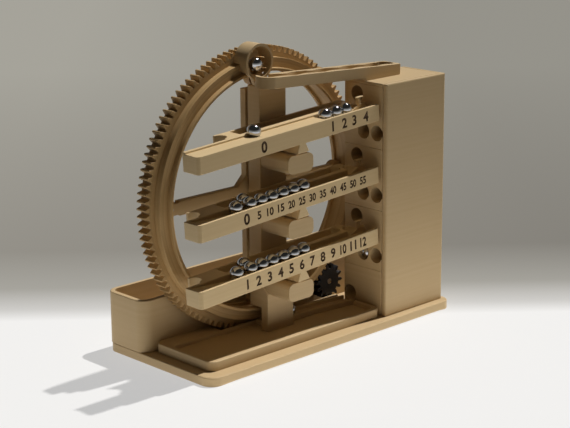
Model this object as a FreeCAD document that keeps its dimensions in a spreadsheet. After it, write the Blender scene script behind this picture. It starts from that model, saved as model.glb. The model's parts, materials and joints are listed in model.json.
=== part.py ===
import FreeCAD, Part
import math
import os
import re
import Sketcher
from FreeCAD import Placement, Rotation, Vector

# A rolling ball clock: a geared wheel lifts one steel ball a minute to a ramp, and three tipping
# rails count the balls as minutes, five minutes and hours. Millimetres, +Z up, +X to the right and
# +Y to the back as the clock is read. The origin is the middle of the underside of the base.

doc = FreeCAD.newDocument("rolling_ball_clock")

# Driving sizes. Insets are measured from the left and front edges of the base.
SIZES = {
    "ball_diameter": 9.525,
    "ball_gap": 0.05,
    "base_length": 232,
    "base_depth": 106,
    "base_height": 6,
    "base_corner": 9,
    "edge_round": 0.8,
    "tray_left_inset": 8.8,
    "tray_front_inset": 9.6,
    "tray_height": 6.5,
    "tray_lip": 3.6,
    "tray_recess": 3,
    "tray_corner": 6,
    "tray_tower_gap": 0.8,
    "tray_wheel_gap": 1.4,
    # Tower: a foot, three equal modules and a cap behind an angled cover.
    "tower_right_inset": 4,
    "tower_front_inset": 6.3,
    "tower_length": 60,
    "tower_depth": 40,
    "foot_height": 32.2,
    "module_height": 43.6,
    "cap_height": 2.2,
    "cover_thickness": 4.3,
    "cover_side": 3,
    "cover_corner": 1.6,
    "duct_clearance": 1.575,
    "feed_drop": 7.4,
    "exit_drop": 32.9,
    "feed_back_inset": 11.9,
    "front_exit_inset": 9.6,
    "middle_exit_inset": 21.9,
    "feed_run": 28,
    "return_run": 41,
    # Lifting wheel, a stepped ring: inner lip, drum and toothed rim, from the front to the back.
    "wheel_offset": -23,
    "wheel_teeth": 118,
    "pinion_teeth": 14,
    "gear_module": 1.62,
    "pressure_angle": 20,
    "tooth_backlash": 0.3,
    "gear_width": 8.9,
    "drum_depth": 5.5,
    "lip_depth": 3.5,
    "bore_radius": 81,
    "lip_radius": 83.2,
    "drum_radius": 89.8,
    "groove_radius": 83,
    "groove_inset": 8.8,
    "groove_width": 6.6,
    "wheel_base_gap": 0.6,
    "wheel_tower_gap": 0.5,
    "pocket_radius": 86.5,
    "pocket_clearance": 0.6,
    "pocket_depth": 0.3,
    "pocket_angle": -6.5,
    "magnet_diameter": 5,
    "magnet_height": 2.5,
    # Guide rollers inside the wheel.
    "roller_diameter": 12,
    "roller_width": 6,
    "roller_rim_gap": 0.15,
    "pin_diameter": 3,
    "pin_head_diameter": 5,
    "pin_head_height": 0.8,
    "running_clearance": 0.05,
    "seat_clearance": 0.02,
    "side_clearance": 0.3,
    "ball_seat": 0.1,
    # Post and spider.
    "post_width": 24,
    "post_wheel_lap": 4.4,
    "post_lower_step": 5.9,
    "post_lower_depth": 6.5,
    "post_step_gap": 2.7,
    "knee_height": 36,
    "knee_rise": 6,
    "spider_gap": 2.2,
    "spider_thickness": 5,
    "spider_boss_diameter": 9,
    "beam_height": 9.8,
    "gusset_size": 7,
    "tongue_width": 8,
    "tongue_thickness": 2,
    "tongue_margin": 1.2,
    # Arms that carry the rails.
    "arm_width": 22.8,
    "arm_height": 12.4,
    "arm_corner": 4.2,
    "arm_peg_width": 10,
    "arm_peg_height": 6,
    "arm_peg_length": 4,
    # Rails, measured from their pivots.
    "rail_front_inset": 10.8,
    "front_wall": 2.4,
    "channel_clearance": 0.475,
    "back_wall": 2.4,
    "slot_clearance": 0.275,
    "rail_height": 11.6,
    "floor_height": 7.6,
    "rail_left_reach": 90.2,
    "rail_tower_gap": 2.2,
    "rail_corner": 2.6,
    "rail_drop": 30.1,
    "rail_bottom_rise": 2.9,
    "pin_rise": 3,
    "rest_tilt": 3.4,
    "lug_width": 10.9,
    "lug_neck": 5.6,
    "lug_gap": 1.4,
    "post_rail_gap": 0.5,
    "rear_left_reach": 77,
    "minute_rear_left_reach": 53,
    "back_wall_inset": 17.3,
    "guide_radius": 7,
    "shelf_drop": 3.6,
    "slot_left_reach": 54,
    "slot_floor": 5.4,
    "slot_wall": 1.8,
    "minute_lip_rise": 1.4,
    "minute_channel_left": 22.6,
    "divider_inset": 15.7,
    "divider_end_inset": 4.8,
    "divider_rise": 4.6,
    "divider_stem_length": 2.7,
    "divider_cap_length": 6.6,
    "divider_cap_width": 4,
    "divider_cap_height": 1,
    "fixed_ball_reach": 52.6,
    "fixed_ball_gap": 2.875,
    "minute_fixed_reach": 33.4,
    "minute_fixed_lift": 2.8,
    "minute_ball_gap": 1.0375,
    "weight_ball_reach": 33.5,
    "minute_weight_reach": 24,
    # Ramp and hoop at the top.
    "ramp_feed_shift": 0.4,
    "ramp_width": 16,
    "ramp_height": 7.6,
    "ramp_slope": 3,
    "ramp_end_margin": 6.6,
    "ramp_left_reach": 18,
    "ramp_floor": 2.4,
    "ramp_wave_clearance": 0.375,
    "ramp_wave_swing": 1.3,
    "ramp_waves": 4.5,
    "hoop_shift": 8,
    "hoop_radius": 12,
    "hoop_wall": 1.7,
    "hoop_depth": 3.4,
    "hoop_height": 193,
    "hoop_foot_width": 15,
    # Return chute.
    "chute_wall": 1.7,
    "chute_rim_rise": 0.8,
    "chute_post_gap": 0.5,
    "chute_bend_reach": 25,
    "chute_drop": 1,
    # Rear box with the drive.
    "box_height": 36,
    "box_corner": 8,
    "box_wall": 3.2,
    "box_bottom": 2.4,
    "box_wheel_gap": 1.8,
    "box_right_inset": 2,
    "motor_diameter": 24.4,
    "motor_back_gap": 3.1,
    "gearbox_length": 9,
    "motor_height": 22.5,
    "motor_boss_diameter": 7,
    "shaft_diameter": 4,
    "mesh_clearance": 0.08,
    "board_motor_gap": 3.2,
    "board_end_gap": 2.8,
    "board_side_gap": 4.55,
    "board_thickness": 1.6,
    "spacer_diameter": 5,
    "spacer_height": 4,
    "chip_length": 16,
    "chip_height": 2.4,
    "socket_right_inset": 30,
    "socket_diameter": 8,
    "socket_nut_diameter": 11,
    "socket_nut_height": 2,
    "socket_length": 12,
    "socket_height": 24,
    "screw_diameter": 3,
    "screw_head_diameter": 5.6,
    "screw_head_height": 2,
    "screw_length": 14,
    "box_screw_length": 8,
    "box_screw_inset": 30,
    "box_screw_spacing": 86,
    "foot_exit_back_wall": 0.4,
    "foot_wall": 2,
    "pin_depth_share": 0.75,
    "root_depth_share": 1.25,
    "spider_screw_share": 0.6,
    "spider_thread_share": 0.58,
    "cut_overrun": 1,
}

sheet = doc.addObject("Spreadsheet::Sheet", "Sizes")
for row, (alias, number) in enumerate(SIZES.items(), start=1):
    sheet.set(f"A{row}", alias)
    sheet.set(f"B{row}", str(number))
    sheet.setAlias(f"B{row}", alias)
doc.recompute()


def size(alias):
    return float(sheet.get(alias))


places = doc.addObject("App::VarSet", "Places")


def formula(text):
    """Turn the names in a formula into references to the sheet and to the worked-out places."""
    def refer(match):
        word = match.group(0)
        return f"Sizes.{word}" if word in SIZES else f"Places.{word}"
    return re.sub(r"\b[a-z]+(?:_[a-z]+)+\b", refer, text)


def place(name, text):
    places.addProperty("App::PropertyFloat", name, "Places")
    places.setExpression(name, formula(text))
    doc.recompute()


def at(name):
    return getattr(places, name)


# Places worked out from the sizes.
place("base_left", "-base_length / 2")
place("base_front", "-base_depth / 2")
place("tray_left", "base_left + tray_left_inset")
place("tray_front", "base_front + tray_front_inset")
place("tray_floor", "base_height + tray_height - tray_recess")
place("tray_top", "base_height + tray_height")
place("tower_left", "base_length / 2 - tower_right_inset - tower_length")
place("tower_right", "tower_left + tower_length")
place("tower_front", "base_front + tower_front_inset")
place("tower_back", "tower_front + tower_depth")
place("module_front", "tower_front + cover_thickness")
place("module_right", "tower_right - cover_side")
place("foot_top", "base_height + foot_height")
MODULES = ["hour", "five_minute", "minute"]
place("tower_top", f"foot_top + {len(MODULES)} * module_height")
place("cap_top", "tower_top + cap_height")
place("feed_y", "tower_back - feed_back_inset")
place("front_exit_y", "tower_front + front_exit_inset")
place("middle_exit_y", "tower_front + middle_exit_inset")
place("duct_diameter", "ball_diameter + duct_clearance")
place("feed_x", "tower_left + feed_run")
place("return_x", "tower_left + return_run")
place("wheel_tip", "gear_module * (wheel_teeth / 2 + 1)")
place("wheel_x", "wheel_offset")
place("wheel_z", "base_height + wheel_base_gap + wheel_tip")
place("wheel_front", "tower_back + wheel_tower_gap")
place("drum_front", "wheel_front + lip_depth")
place("gear_front", "drum_front + drum_depth")
place("wheel_back", "gear_front + gear_width")
place("groove_front", "wheel_front + groove_inset")
place("box_front", "wheel_back + box_wheel_gap")
place("box_back", "base_front + base_depth")
place("box_inner_front", "box_front + box_wall")
place("box_floor", "base_height + box_bottom")
place("box_top", "base_height + box_height")
place("tray_back", "gear_front - tray_wheel_gap")
place("tray_right", "tower_left - tray_tower_gap")
place("wheel_slot_left", "wheel_x - sqrt(wheel_tip ^ 2 - (wheel_z - tray_top) ^ 2) - 2 * tray_wheel_gap")
place("channel_width", "ball_diameter + channel_clearance")
place("rail_front", "base_front + rail_front_inset")
place("channel_front", "rail_front + front_wall")
place("channel_back", "channel_front + channel_width")
place("channel_y", "channel_front + channel_width / 2")
place("rear_front", "channel_back + back_wall")
place("slot_width", "ball_diameter + slot_clearance")
place("rear_width", "slot_width + 2 * slot_wall")
place("rail_back", "rear_front + rear_width")
place("slot_y", "rear_front + rear_width / 2")
place("post_front", "rail_back + post_rail_gap")
place("post_back", "wheel_front + post_wheel_lap")
place("post_upper_depth", "post_back - post_front")
place("post_step_height", "wheel_z - bore_radius + post_step_gap")
place("post_lower_front", "post_front - post_lower_step")
place("post_lower_back", "post_lower_front + post_lower_depth")
place("spider_front", "post_back + spider_gap")
place("spider_back", "spider_front + spider_thickness")
place("roller_reach", "groove_radius - roller_rim_gap - roller_diameter / 2")
place("tongue_reach", "bore_radius - tongue_margin")
place("spider_reach", "roller_reach - roller_diameter / 2 - side_clearance")
place("roller_front", "groove_front + (groove_width - roller_width) / 2")
place("arm_end_y", "channel_front")
place("ramp_angle_rise", "tan(ramp_slope * 1deg)")
place("ramp_right", "feed_x + ramp_end_margin")
place("ramp_length", "ramp_right - wheel_x + ramp_left_reach")
place("ramp_y", "feed_y - ramp_feed_shift")
place("ramp_front", "ramp_y - ramp_width / 2")
place("ramp_wave_width", "ball_diameter + ramp_wave_clearance")
place("hoop_x", "wheel_x - hoop_shift")
place("hoop_back", "wheel_front - 2 * side_clearance")
place("hoop_front", "hoop_back - hoop_depth")
place("post_top", "cap_top + (ramp_right - wheel_x + post_width / 2) * ramp_angle_rise")
place("gear_distance", "gear_module * (wheel_teeth + pinion_teeth) / 2 + mesh_clearance")
place("pinion_z", "motor_height")
place("pinion_drop", "wheel_z - pinion_z")
place("pinion_x", "wheel_x + sqrt(gear_distance ^ 2 - pinion_drop ^ 2)")
place("motor_length", "box_back - box_wall - box_inner_front - gearbox_length - motor_back_gap")
place("board_left", "pinion_x + motor_diameter / 2 + board_motor_gap")
place("box_inner_right", "base_left + base_length - box_right_inset - box_wall")
place("board_length", "box_inner_right - board_end_gap - board_left")
place("board_front", "box_inner_front + board_side_gap")
place("board_depth", "box_back - box_wall - board_side_gap - board_front")
place("board_bottom", "box_floor + spacer_height")
place("socket_x", "base_left + base_length - box_right_inset - socket_right_inset")
place("spider_screw_length", "spider_thickness + spider_gap + post_upper_depth * spider_thread_share")
place("rail_right_reach", "tower_left - rail_tower_gap - wheel_x")
place("back_wall_reach", "rail_right_reach - back_wall_inset")
place("divider_left", "rail_right_reach - divider_inset")
place("divider_right", "rail_right_reach - divider_end_inset")
place("first_ball_reach", "fixed_ball_reach - ball_diameter - fixed_ball_gap")
place("minute_first_reach", "-minute_channel_left - ball_diameter / 2 - minute_ball_gap")
place("minute_fixed_y", "channel_back - ball_diameter / 4")
place("minute_fixed_rise", "rail_bottom_rise + rail_height + minute_fixed_lift")
place("lifted_reach", "lip_radius + side_clearance + ball_diameter / 2")
place("chute_ball_y", "drum_front - side_clearance - ball_diameter / 2")
place("chute_ball_z", "wheel_z - lifted_reach")
place("chute_floor_top", "chute_ball_z - ball_diameter / 2 - ball_seat")
place("chute_end_left", "wheel_x - channel_width / 2 - chute_wall")
place("chute_bend", "wheel_x + post_width / 2 + chute_bend_reach")
place("chute_front", "chute_ball_y - channel_width / 2 - chute_wall")
place("chute_back", "chute_ball_y + channel_width / 2 + chute_wall")
place("foot_exit_y", "tower_back - foot_exit_back_wall - duct_diameter / 2")
place("foot_exit_z", "chute_ball_z + chute_drop")
place("foot_drop_z", "foot_top - duct_diameter")
place("foot_turn_y", "tower_back - duct_diameter / 2 - foot_wall")


def bind(target, **formulas):
    """Bind properties of an object to formulas; x, y and z are its place."""
    for name, text in formulas.items():
        name = {"x": "Placement.Base.x", "y": "Placement.Base.y", "z": "Placement.Base.z"}.get(name, name)
        target.setExpression(name, formula(text))


def block(name, x, y, z, length, width, height):
    solid = doc.addObject("Part::Box", name)
    bind(solid, Length=length, Width=width, Height=height, x=x, y=y, z=z)
    return solid


TURNS = {"X": Rotation(Vector(0, 1, 0), 90), "Y": Rotation(Vector(1, 0, 0), -90), "Z": Rotation()}


def rod(name, axis, x, y, z, radius, length):
    """A cylinder that starts at x, y, z and runs along the axis."""
    solid = doc.addObject("Part::Cylinder", name)
    solid.Placement = Placement(Vector(), TURNS[axis])
    bind(solid, Radius=radius, Height=length, x=x, y=y, z=z)
    return solid


def ball(name, x, y, z, radius="ball_diameter / 2"):
    solid = doc.addObject("Part::Sphere", name)
    bind(solid, Radius=radius, x=x, y=y, z=z)
    return solid


def join(name, *solids):
    whole = doc.addObject("Part::MultiFuse", name)
    whole.Shapes = list(solids)
    return whole


def group(name, *solids):
    """Separate solids that share one node."""
    whole = doc.addObject("Part::Compound", name)
    whole.Links = list(solids)
    return whole


def cut(name, base, *tools):
    tool = tools[0] if len(tools) == 1 else join(name + "_cuts", *tools)
    result = doc.addObject("Part::Cut", name)
    result.Base = base
    result.Tool = tool
    return result


TOLERANCE = 1e-4


def upright(edge):
    return abs(edge.BoundBox.ZMax - edge.BoundBox.ZMin - edge.Length) < TOLERANCE


def front_to_back(edge):
    return abs(edge.BoundBox.YMax - edge.BoundBox.YMin - edge.Length) < TOLERANCE


def rounded(name, base, radius, pick):
    """Round the edges of an object that the pick function chooses."""
    doc.recompute()
    result = doc.addObject("Part::Fillet", name)
    result.Base = base
    numbers = [i for i, edge in enumerate(base.Shape.Edges, start=1) if pick(edge)]
    result.Edges = [(i, radius, radius) for i in numbers]
    return result


def level_at(height):
    """Choose the edges that lie flat at one height."""
    def pick(edge):
        box = edge.BoundBox
        return abs(box.ZMin - height) < TOLERANCE and abs(box.ZMax - height) < TOLERANCE
    return pick


PLANES = {"XY": "XY_Plane", "XZ": "XZ_Plane", "YZ": "YZ_Plane"}


def profile(name, plane, points, length, x="0", y="0", z="0"):
    """A body padded from a closed outline of straight lines, away from its plane along +X, +Y or +Z."""
    body = doc.addObject("PartDesign::Body", name)
    sketch = body.newObject("Sketcher::SketchObject", name + "_outline")
    support = [f for f in body.Origin.OriginFeatures if f.Role == PLANES[plane]][0]
    sketch.AttachmentSupport = [(support, "")]
    sketch.MapMode = "FlatFace"
    count = len(points)
    turns = [i * math.tau / count for i in range(count)]
    start = [Vector(math.cos(turn), math.sin(turn), 0) for turn in turns]
    for i in range(count):
        sketch.addGeometry(Part.LineSegment(start[i], start[(i + 1) % count]), False)
    for i in range(count):
        sketch.addConstraint(Sketcher.Constraint("Coincident", i, 2, (i + 1) % count, 1))
    for i, (across, up) in enumerate(points):
        for kind, text, value in (("DistanceX", across, start[i].x), ("DistanceY", up, start[i].y)):
            number = sketch.addConstraint(Sketcher.Constraint(kind, -1, 1, i, 1, value))
            sketch.setExpression(f"Constraints[{number}]", formula(text))
    pad = body.newObject("PartDesign::Pad", name + "_pad")
    pad.Profile = sketch
    pad.Reversed = plane == "XZ"
    pad.setExpression("Length", formula(length))
    bind(body, x=x, y=y, z=z)
    return body


def plate(name, x, y, z, length, width, height, corner):
    """A padded rectangle with rounded upright corners."""
    zero = "0"
    outline = [(zero, zero), (length, zero), (length, width), (zero, width)]
    body = profile(name, "XY", outline, height, x, y, z)
    doc.recompute()
    pad = body.Tip
    fillet = body.newObject("PartDesign::Fillet", name + "_corners")
    edges = [f"Edge{i}" for i, edge in enumerate(pad.Shape.Edges, start=1) if upright(edge)]
    fillet.Base = (pad, edges)
    fillet.setExpression("Radius", formula(corner))
    return body


parts = []


def part(name, solid):
    """Give the finished object its label, which is also its file name."""
    solid.Label = name
    parts.append(solid)
    return solid


OVER = "cut_overrun"

# Base plate and tray
base_blank = plate("base_blank", "base_left", "base_front", "0", "base_length", "base_depth",
                   "base_height", "base_corner")
base_soft = rounded("base_soft", base_blank, size("edge_round"), level_at(size("base_height")))

POST_SCREWS = [("wheel_x - post_width / 4", "post_lower_front + post_lower_depth / 2"),
               ("wheel_x + post_width / 4", "post_lower_front + post_lower_depth / 2")]
FOOT_SCREWS = [("tower_left + tower_length / 4", "tower_front + tower_depth / 4"),
               ("tower_right - tower_length / 4", "tower_back - tower_depth / 4")]
BOX_SCREWS = [("base_left + box_screw_inset", "(box_front + box_back) / 2"),
              ("base_left + box_screw_inset + box_screw_spacing", "(box_front + box_back) / 2")]
SCREWS = POST_SCREWS + FOOT_SCREWS + BOX_SCREWS


def screw_bore(name, x, y, top):
    return rod(name, "Z", x, y, f"-{OVER}", "screw_diameter / 2 + seat_clearance", f"{top} + {OVER}")


def screw(name, x, y, top):
    """A countersunk screw whose tip reaches the height top."""
    head = rod(name + "_head", "Z", x, y, "side_clearance", "screw_head_diameter / 2", "screw_head_height")
    shank = rod(name + "_shank", "Z", x, y, "screw_head_height", "screw_diameter / 2",
                f"{top} - screw_head_height")
    return join(name, head, shank)


base_tools = []
for number, (screw_x, screw_y) in enumerate(SCREWS, start=1):
    base_tools.append(screw_bore(f"base_bore_{number}", screw_x, screw_y, "screw_length"))
    base_tools.append(rod(f"base_sink_{number}", "Z", screw_x, screw_y, f"-{OVER}",
                          "screw_head_diameter / 2 + side_clearance",
                          f"screw_head_height + side_clearance + {OVER}"))
part("base_plate", cut("base_plate", base_soft, *base_tools))

tray_blank = plate("tray_blank", "tray_left", "tray_front", "base_height", "tray_right - tray_left",
                   "box_front - tray_front", "tray_height", "tray_corner")
tray_soft = rounded("tray_soft", tray_blank, size("edge_round"), level_at(at("tray_top")))
wheel_slot = block("wheel_slot", "wheel_slot_left", "tray_back", f"base_height - {OVER}",
                   f"tray_right - wheel_slot_left + {OVER}", f"box_front - tray_back + {OVER}",
                   f"tray_height + 2 * {OVER}")
tray_recess = plate("tray_recess_tool", "tray_left + tray_lip", "tray_front + tray_lip", "tray_floor",
                    "tray_right - tray_left - 2 * tray_lip",
                    "chute_back + seat_clearance - tray_front - tray_lip",
                    f"tray_recess + {OVER}", "tray_corner - tray_lip / 2")
chute_way = block("chute_way", "chute_end_left - seat_clearance",
                  "foot_exit_y - channel_width / 2 - chute_wall - seat_clearance", "tray_floor",
                  f"tray_right - chute_end_left + seat_clearance + {OVER}",
                  "chute_back - foot_exit_y + channel_width / 2 + chute_wall + 2 * seat_clearance",
                  f"tray_recess + {OVER}")
tray_bores = [screw_bore(f"tray_bore_{i}", x, y, "screw_length") for i, (x, y) in enumerate(POST_SCREWS)]
part("plinth_tray", cut("plinth_tray", tray_soft, wheel_slot, tray_recess, chute_way, *tray_bores))


base_screws = []
for number, (screw_x, screw_y) in enumerate(SCREWS):
    tip = "box_screw_length" if (screw_x, screw_y) in BOX_SCREWS else "screw_length - side_clearance"
    base_screws.append(screw(f"base_screw_{number}", screw_x, screw_y, tip))
part("base_screws", group("base_screws", *base_screws))

# Tower
foot_blank = block("foot_blank", "tower_left", "module_front", "base_height", "module_right - tower_left",
                   "tower_back - module_front", "foot_height")
foot_return = rod("foot_return", "Z", "return_x", "front_exit_y", "foot_drop_z", "duct_diameter / 2",
                  f"duct_diameter + {OVER}")


def duct(name, start, end, radius):
    """A round duct from one point to another, ended by a ball at each end."""
    first, last = Vector(*start), Vector(*end)
    tube = Part.makeCylinder(radius, (last - first).Length, first, last - first)
    solid = doc.addObject("Part::Feature", name)
    solid.Shape = tube.fuse([Part.makeSphere(radius, first), Part.makeSphere(radius, last)])
    return solid


duct_radius = at("duct_diameter") / 2
foot_turn = (at("return_x"), at("foot_turn_y"), (at("foot_drop_z") + at("foot_exit_z")) / 2)
foot_back = duct("foot_back", (at("return_x"), at("front_exit_y"), at("foot_drop_z")), foot_turn, duct_radius)
foot_exit = duct("foot_exit", foot_turn,
                 (at("tower_left") - size("cut_overrun"), at("foot_exit_y"), at("foot_exit_z")), duct_radius)
foot_bores = [screw_bore(f"foot_bore_{i}", x, y, "screw_length") for i, (x, y) in enumerate(FOOT_SCREWS)]
part("tower_foot", cut("tower_foot", foot_blank, foot_return, foot_back, foot_exit, *foot_bores))

for step, name in enumerate(MODULES):
    low = f"foot_top + {step} * module_height"
    top = f"foot_top + {step + 1} * module_height"
    blank = block(f"{name}_blank", "tower_left", "module_front", low, "module_right - tower_left",
                  "tower_back - module_front", "module_height")
    feed = rod(f"{name}_feed", "X", f"tower_left - {OVER}", "feed_y", f"{top} - feed_drop",
               "duct_diameter / 2", f"feed_run + {OVER}")
    shaft = rod(f"{name}_shaft", "Z", "feed_x", "feed_y", f"{top} - feed_drop", "duct_diameter / 2",
                f"feed_drop + {OVER}")
    elbow = ball(f"{name}_elbow", "feed_x", "feed_y", f"{top} - feed_drop", "duct_diameter / 2")
    fore = rod(f"{name}_front_exit", "X", f"tower_left - {OVER}", "front_exit_y", f"{top} - exit_drop",
               "duct_diameter / 2", f"return_run + {OVER}")
    drop = rod(f"{name}_return", "Z", "return_x", "front_exit_y", f"{low} - {OVER}", "duct_diameter / 2",
               f"module_height + 2 * {OVER}")
    middle = rod(f"{name}_middle_exit", "X", f"tower_left - {OVER}", "middle_exit_y", f"{top} - exit_drop",
                 "duct_diameter / 2", f"feed_run + {OVER}")
    low_z = at("foot_top") + step * size("module_height")
    exit_z = low_z + size("module_height") - size("exit_drop")
    below = (at("feed_x"), at("feed_y"), low_z) if step else (at("return_x"), at("front_exit_y"), low_z)
    next_feed = duct(f"{name}_next_feed", (at("feed_x"), at("middle_exit_y"), exit_z), below, duct_radius)
    part(f"{name}_module", cut(f"{name}_module", blank, feed, shaft, elbow, fore, drop, middle, next_feed))

cap_blank = block("cap_blank", "tower_left", "module_front", "tower_top", "module_right - tower_left",
                  "tower_back - module_front", "cap_height")
cap_hole = rod("cap_hole", "Z", "feed_x", "feed_y", f"tower_top - {OVER}", "duct_diameter / 2",
               f"cap_height + 2 * {OVER}")
part("tower_cap", cut("tower_cap", cap_blank, cap_hole))

cover_inside = "tower_length - cover_side"
cover = profile("cover_blank", "XY",
                [("0", "0"), ("tower_length", "0"), ("tower_length", "tower_depth"),
                 (cover_inside, "tower_depth"), (cover_inside, "cover_thickness"), ("0", "cover_thickness")],
                "cap_top - base_height", "tower_left", "tower_front", "base_height")


def outer_corner(edge):
    """Choose the upright edge where the front of the cover turns to its side."""
    box = edge.BoundBox
    return (upright(edge) and box.YMax < at("tower_front") + TOLERANCE
            and box.XMin > at("tower_right") - TOLERANCE)


part("tower_cover", rounded("cover_edges", cover, size("cover_corner"), outer_corner))

# Post and spider
post_profile = [
    ("post_lower_front", "tray_floor"), ("post_lower_back", "tray_floor"),
    ("post_lower_back", "post_step_height"), ("post_back", "post_step_height"),
    ("post_back", "post_top"), ("post_front", "post_top"),
    ("post_front", "knee_height + knee_rise"), ("post_lower_front", "knee_height"),
]
post_blank = profile("post_blank", "YZ", post_profile, "post_width", x="wheel_x - post_width / 2")


def pivot_height(step):
    """The height of a rail's pivot; step 0 is the hour rail, step 2 the minute rail."""
    return f"foot_top + {step + 1} * module_height - rail_drop"


def arm_top(step):
    return f"{pivot_height(step)} - pin_rise - lug_gap"


arm_sockets = []
for step, name in enumerate(MODULES):
    arm_sockets.append(block(f"{name}_arm_socket", "wheel_x - arm_peg_width / 2", f"post_front - {OVER}",
                             f"{arm_top(step)} - arm_height / 2 - arm_peg_height / 2", "arm_peg_width",
                             f"arm_peg_length + {OVER}", "arm_peg_height"))
    arm_sockets.append(rod(f"{name}_pin_socket", "Y", "wheel_x", f"post_front - {OVER}", pivot_height(step),
                           "pin_diameter / 2 + seat_clearance",
                           f"post_upper_depth * pin_depth_share + {OVER}"))
post_bores = [screw_bore(f"post_bore_{i}", x, y, "screw_length") for i, (x, y) in enumerate(POST_SCREWS)]
spider_levels = [f"wheel_z + {turn} * spider_reach * spider_screw_share" for turn in (-1, 0, 1)]
for number, level in enumerate(spider_levels):
    arm_sockets.append(rod(f"spider_post_bore_{number}", "Y", "wheel_x - post_width / 4",
                           "spider_back - spider_screw_length", level,
                           "screw_diameter / 2 + seat_clearance", "spider_screw_length"))
post_left, post_right = "wheel_x - post_width / 2", "wheel_x + post_width / 2"


def ramp_underside(x):
    """The height of the sloping underside of the ramp at a place along the clock."""
    return f"cap_top + (ramp_right - ({x})) * ramp_angle_rise"


post_slope = profile("post_slope", "XZ",
                     [(f"{post_left} - {OVER}", ramp_underside(f"{post_left} - {OVER}")),
                      (f"{post_right} + {OVER}", ramp_underside(f"{post_right} + {OVER}")),
                      (f"{post_right} + {OVER}", f"post_top + {OVER}"),
                      (f"{post_left} - {OVER}", f"post_top + {OVER}")],
                     f"post_upper_depth + 2 * {OVER}", y=f"post_front - {OVER}")
part("support_post", cut("support_post", post_blank, post_slope, *arm_sockets, *post_bores))

for step, name in enumerate(MODULES):
    low = f"{arm_top(step)} - arm_height"
    blank = block(f"{name}_arm_blank", "wheel_x - arm_width / 2", "arm_end_y", low, "arm_width",
                  "post_front - arm_end_y", "arm_height")
    bar = rounded(f"{name}_arm_bar", blank, size("arm_corner"), front_to_back)
    peg = block(f"{name}_arm_peg", "wheel_x - arm_peg_width / 2 + seat_clearance", "post_front",
                f"{low} + arm_height / 2 - arm_peg_height / 2 + seat_clearance",
                "arm_peg_width - 2 * seat_clearance", "arm_peg_length - side_clearance",
                "arm_peg_height - 2 * seat_clearance")
    part(f"{name}_arm", join(f"{name}_arm", cut(f"{name}_arm_seated", bar, post_blank), peg))
    pin = rod(f"{name}_pin", "Y", "wheel_x", "channel_front + side_clearance", pivot_height(step),
              "pin_diameter / 2",
              "post_front - channel_front + post_upper_depth * pin_depth_share - 2 * side_clearance")
    part(f"{name}_pivot_pin", pin)

# Spider: an upright bar and a beam inside the wheel, with four thin tongues that carry the rollers
half_post, half_beam = "post_width / 2", "beam_height / 2"
corner_outline = [("spider_reach", half_beam), (f"{half_post} + gusset_size", half_beam),
                  (half_post, f"{half_beam} + gusset_size"), (half_post, "spider_reach")]


def mirrored(points, across, up):
    turned = [(f"{across} * ({a})", f"{up} * ({b})") for a, b in points]
    return turned if across * up > 0 else turned[::-1]


cross_outline = (mirrored(corner_outline, 1, 1) + mirrored(corner_outline, -1, 1)
                 + mirrored(corner_outline, -1, -1) + mirrored(corner_outline, 1, -1))
cross = profile("spider_cross", "XZ", cross_outline, "spider_thickness", "wheel_x", "spider_front", "wheel_z")
tongue_across = block("tongue_across", "wheel_x - tongue_reach", "spider_front", "wheel_z - tongue_width / 2",
                      "2 * tongue_reach", "tongue_thickness", "tongue_width")
tongue_up = block("tongue_up", "wheel_x - tongue_width / 2", "spider_front", "wheel_z - tongue_reach",
                  "tongue_width", "tongue_thickness", "2 * tongue_reach")
bosses = [rod(f"spider_boss_{i}", "Y", "wheel_x - post_width / 4", "post_back", level,
              "spider_boss_diameter / 2", f"spider_gap + {OVER}") for i, level in enumerate(spider_levels)]
spider_blank = join("spider_blank", cross, tongue_across, tongue_up, *bosses)

ROLLERS = {"right": (1, 0), "top": (0, 1), "left": (-1, 0), "bottom": (0, -1)}


def roller_place(across, up):
    return f"wheel_x + {across} * roller_reach", f"wheel_z + {up} * roller_reach"


spider_tools = []
for name, (across, up) in ROLLERS.items():
    roller_x, roller_z = roller_place(across, up)
    spider_tools.append(rod(f"{name}_tongue_bore", "Y", roller_x, f"spider_front - {OVER}", roller_z,
                            "pin_diameter / 2 + seat_clearance", f"tongue_thickness + 2 * {OVER}"))
for number, level in enumerate(spider_levels):
    spider_tools.append(rod(f"spider_bore_{number}", "Y", "wheel_x - post_width / 4", f"post_back - {OVER}",
                            level, "screw_diameter / 2 + seat_clearance",
                            f"spider_gap + spider_thickness + 2 * {OVER}"))
part("wheel_spider", cut("wheel_spider", spider_blank, *spider_tools))

spider_screws = []
for number, level in enumerate(spider_levels):
    shank = rod(f"spider_shank_{number}", "Y", "wheel_x - post_width / 4",
                "spider_back - spider_screw_length + side_clearance", level, "screw_diameter / 2",
                "spider_screw_length - side_clearance")
    head = rod(f"spider_head_{number}", "Y", "wheel_x - post_width / 4", "spider_back", level,
               "screw_head_diameter / 2", "screw_head_height")
    spider_screws.append(join(f"spider_screw_{number}", shank, head))
part("spider_screws", group("spider_screws", *spider_screws))

roller_pins = []
for name, (across, up) in ROLLERS.items():
    roller_x, roller_z = roller_place(across, up)
    roller = rod(f"{name}_roller_blank", "Y", roller_x, "roller_front", roller_z, "roller_diameter / 2",
                 "roller_width")
    bore = rod(f"{name}_roller_bore", "Y", roller_x, f"roller_front - {OVER}", roller_z,
               "pin_diameter / 2 + running_clearance", f"roller_width + 2 * {OVER}")
    part(f"{name}_guide_roller", cut(f"{name}_guide_roller", roller, bore))
    shank = rod(f"{name}_pin_shank", "Y", roller_x, "spider_front", roller_z, "pin_diameter / 2",
                "roller_front + roller_width + side_clearance - spider_front")
    head = rod(f"{name}_pin_head", "Y", roller_x, "roller_front + roller_width + side_clearance", roller_z,
               "pin_head_diameter / 2", "pin_head_height")
    roller_pins.append(join(f"{name}_roller_pin", shank, head))
part("roller_pins", group("roller_pins", *roller_pins))


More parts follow.
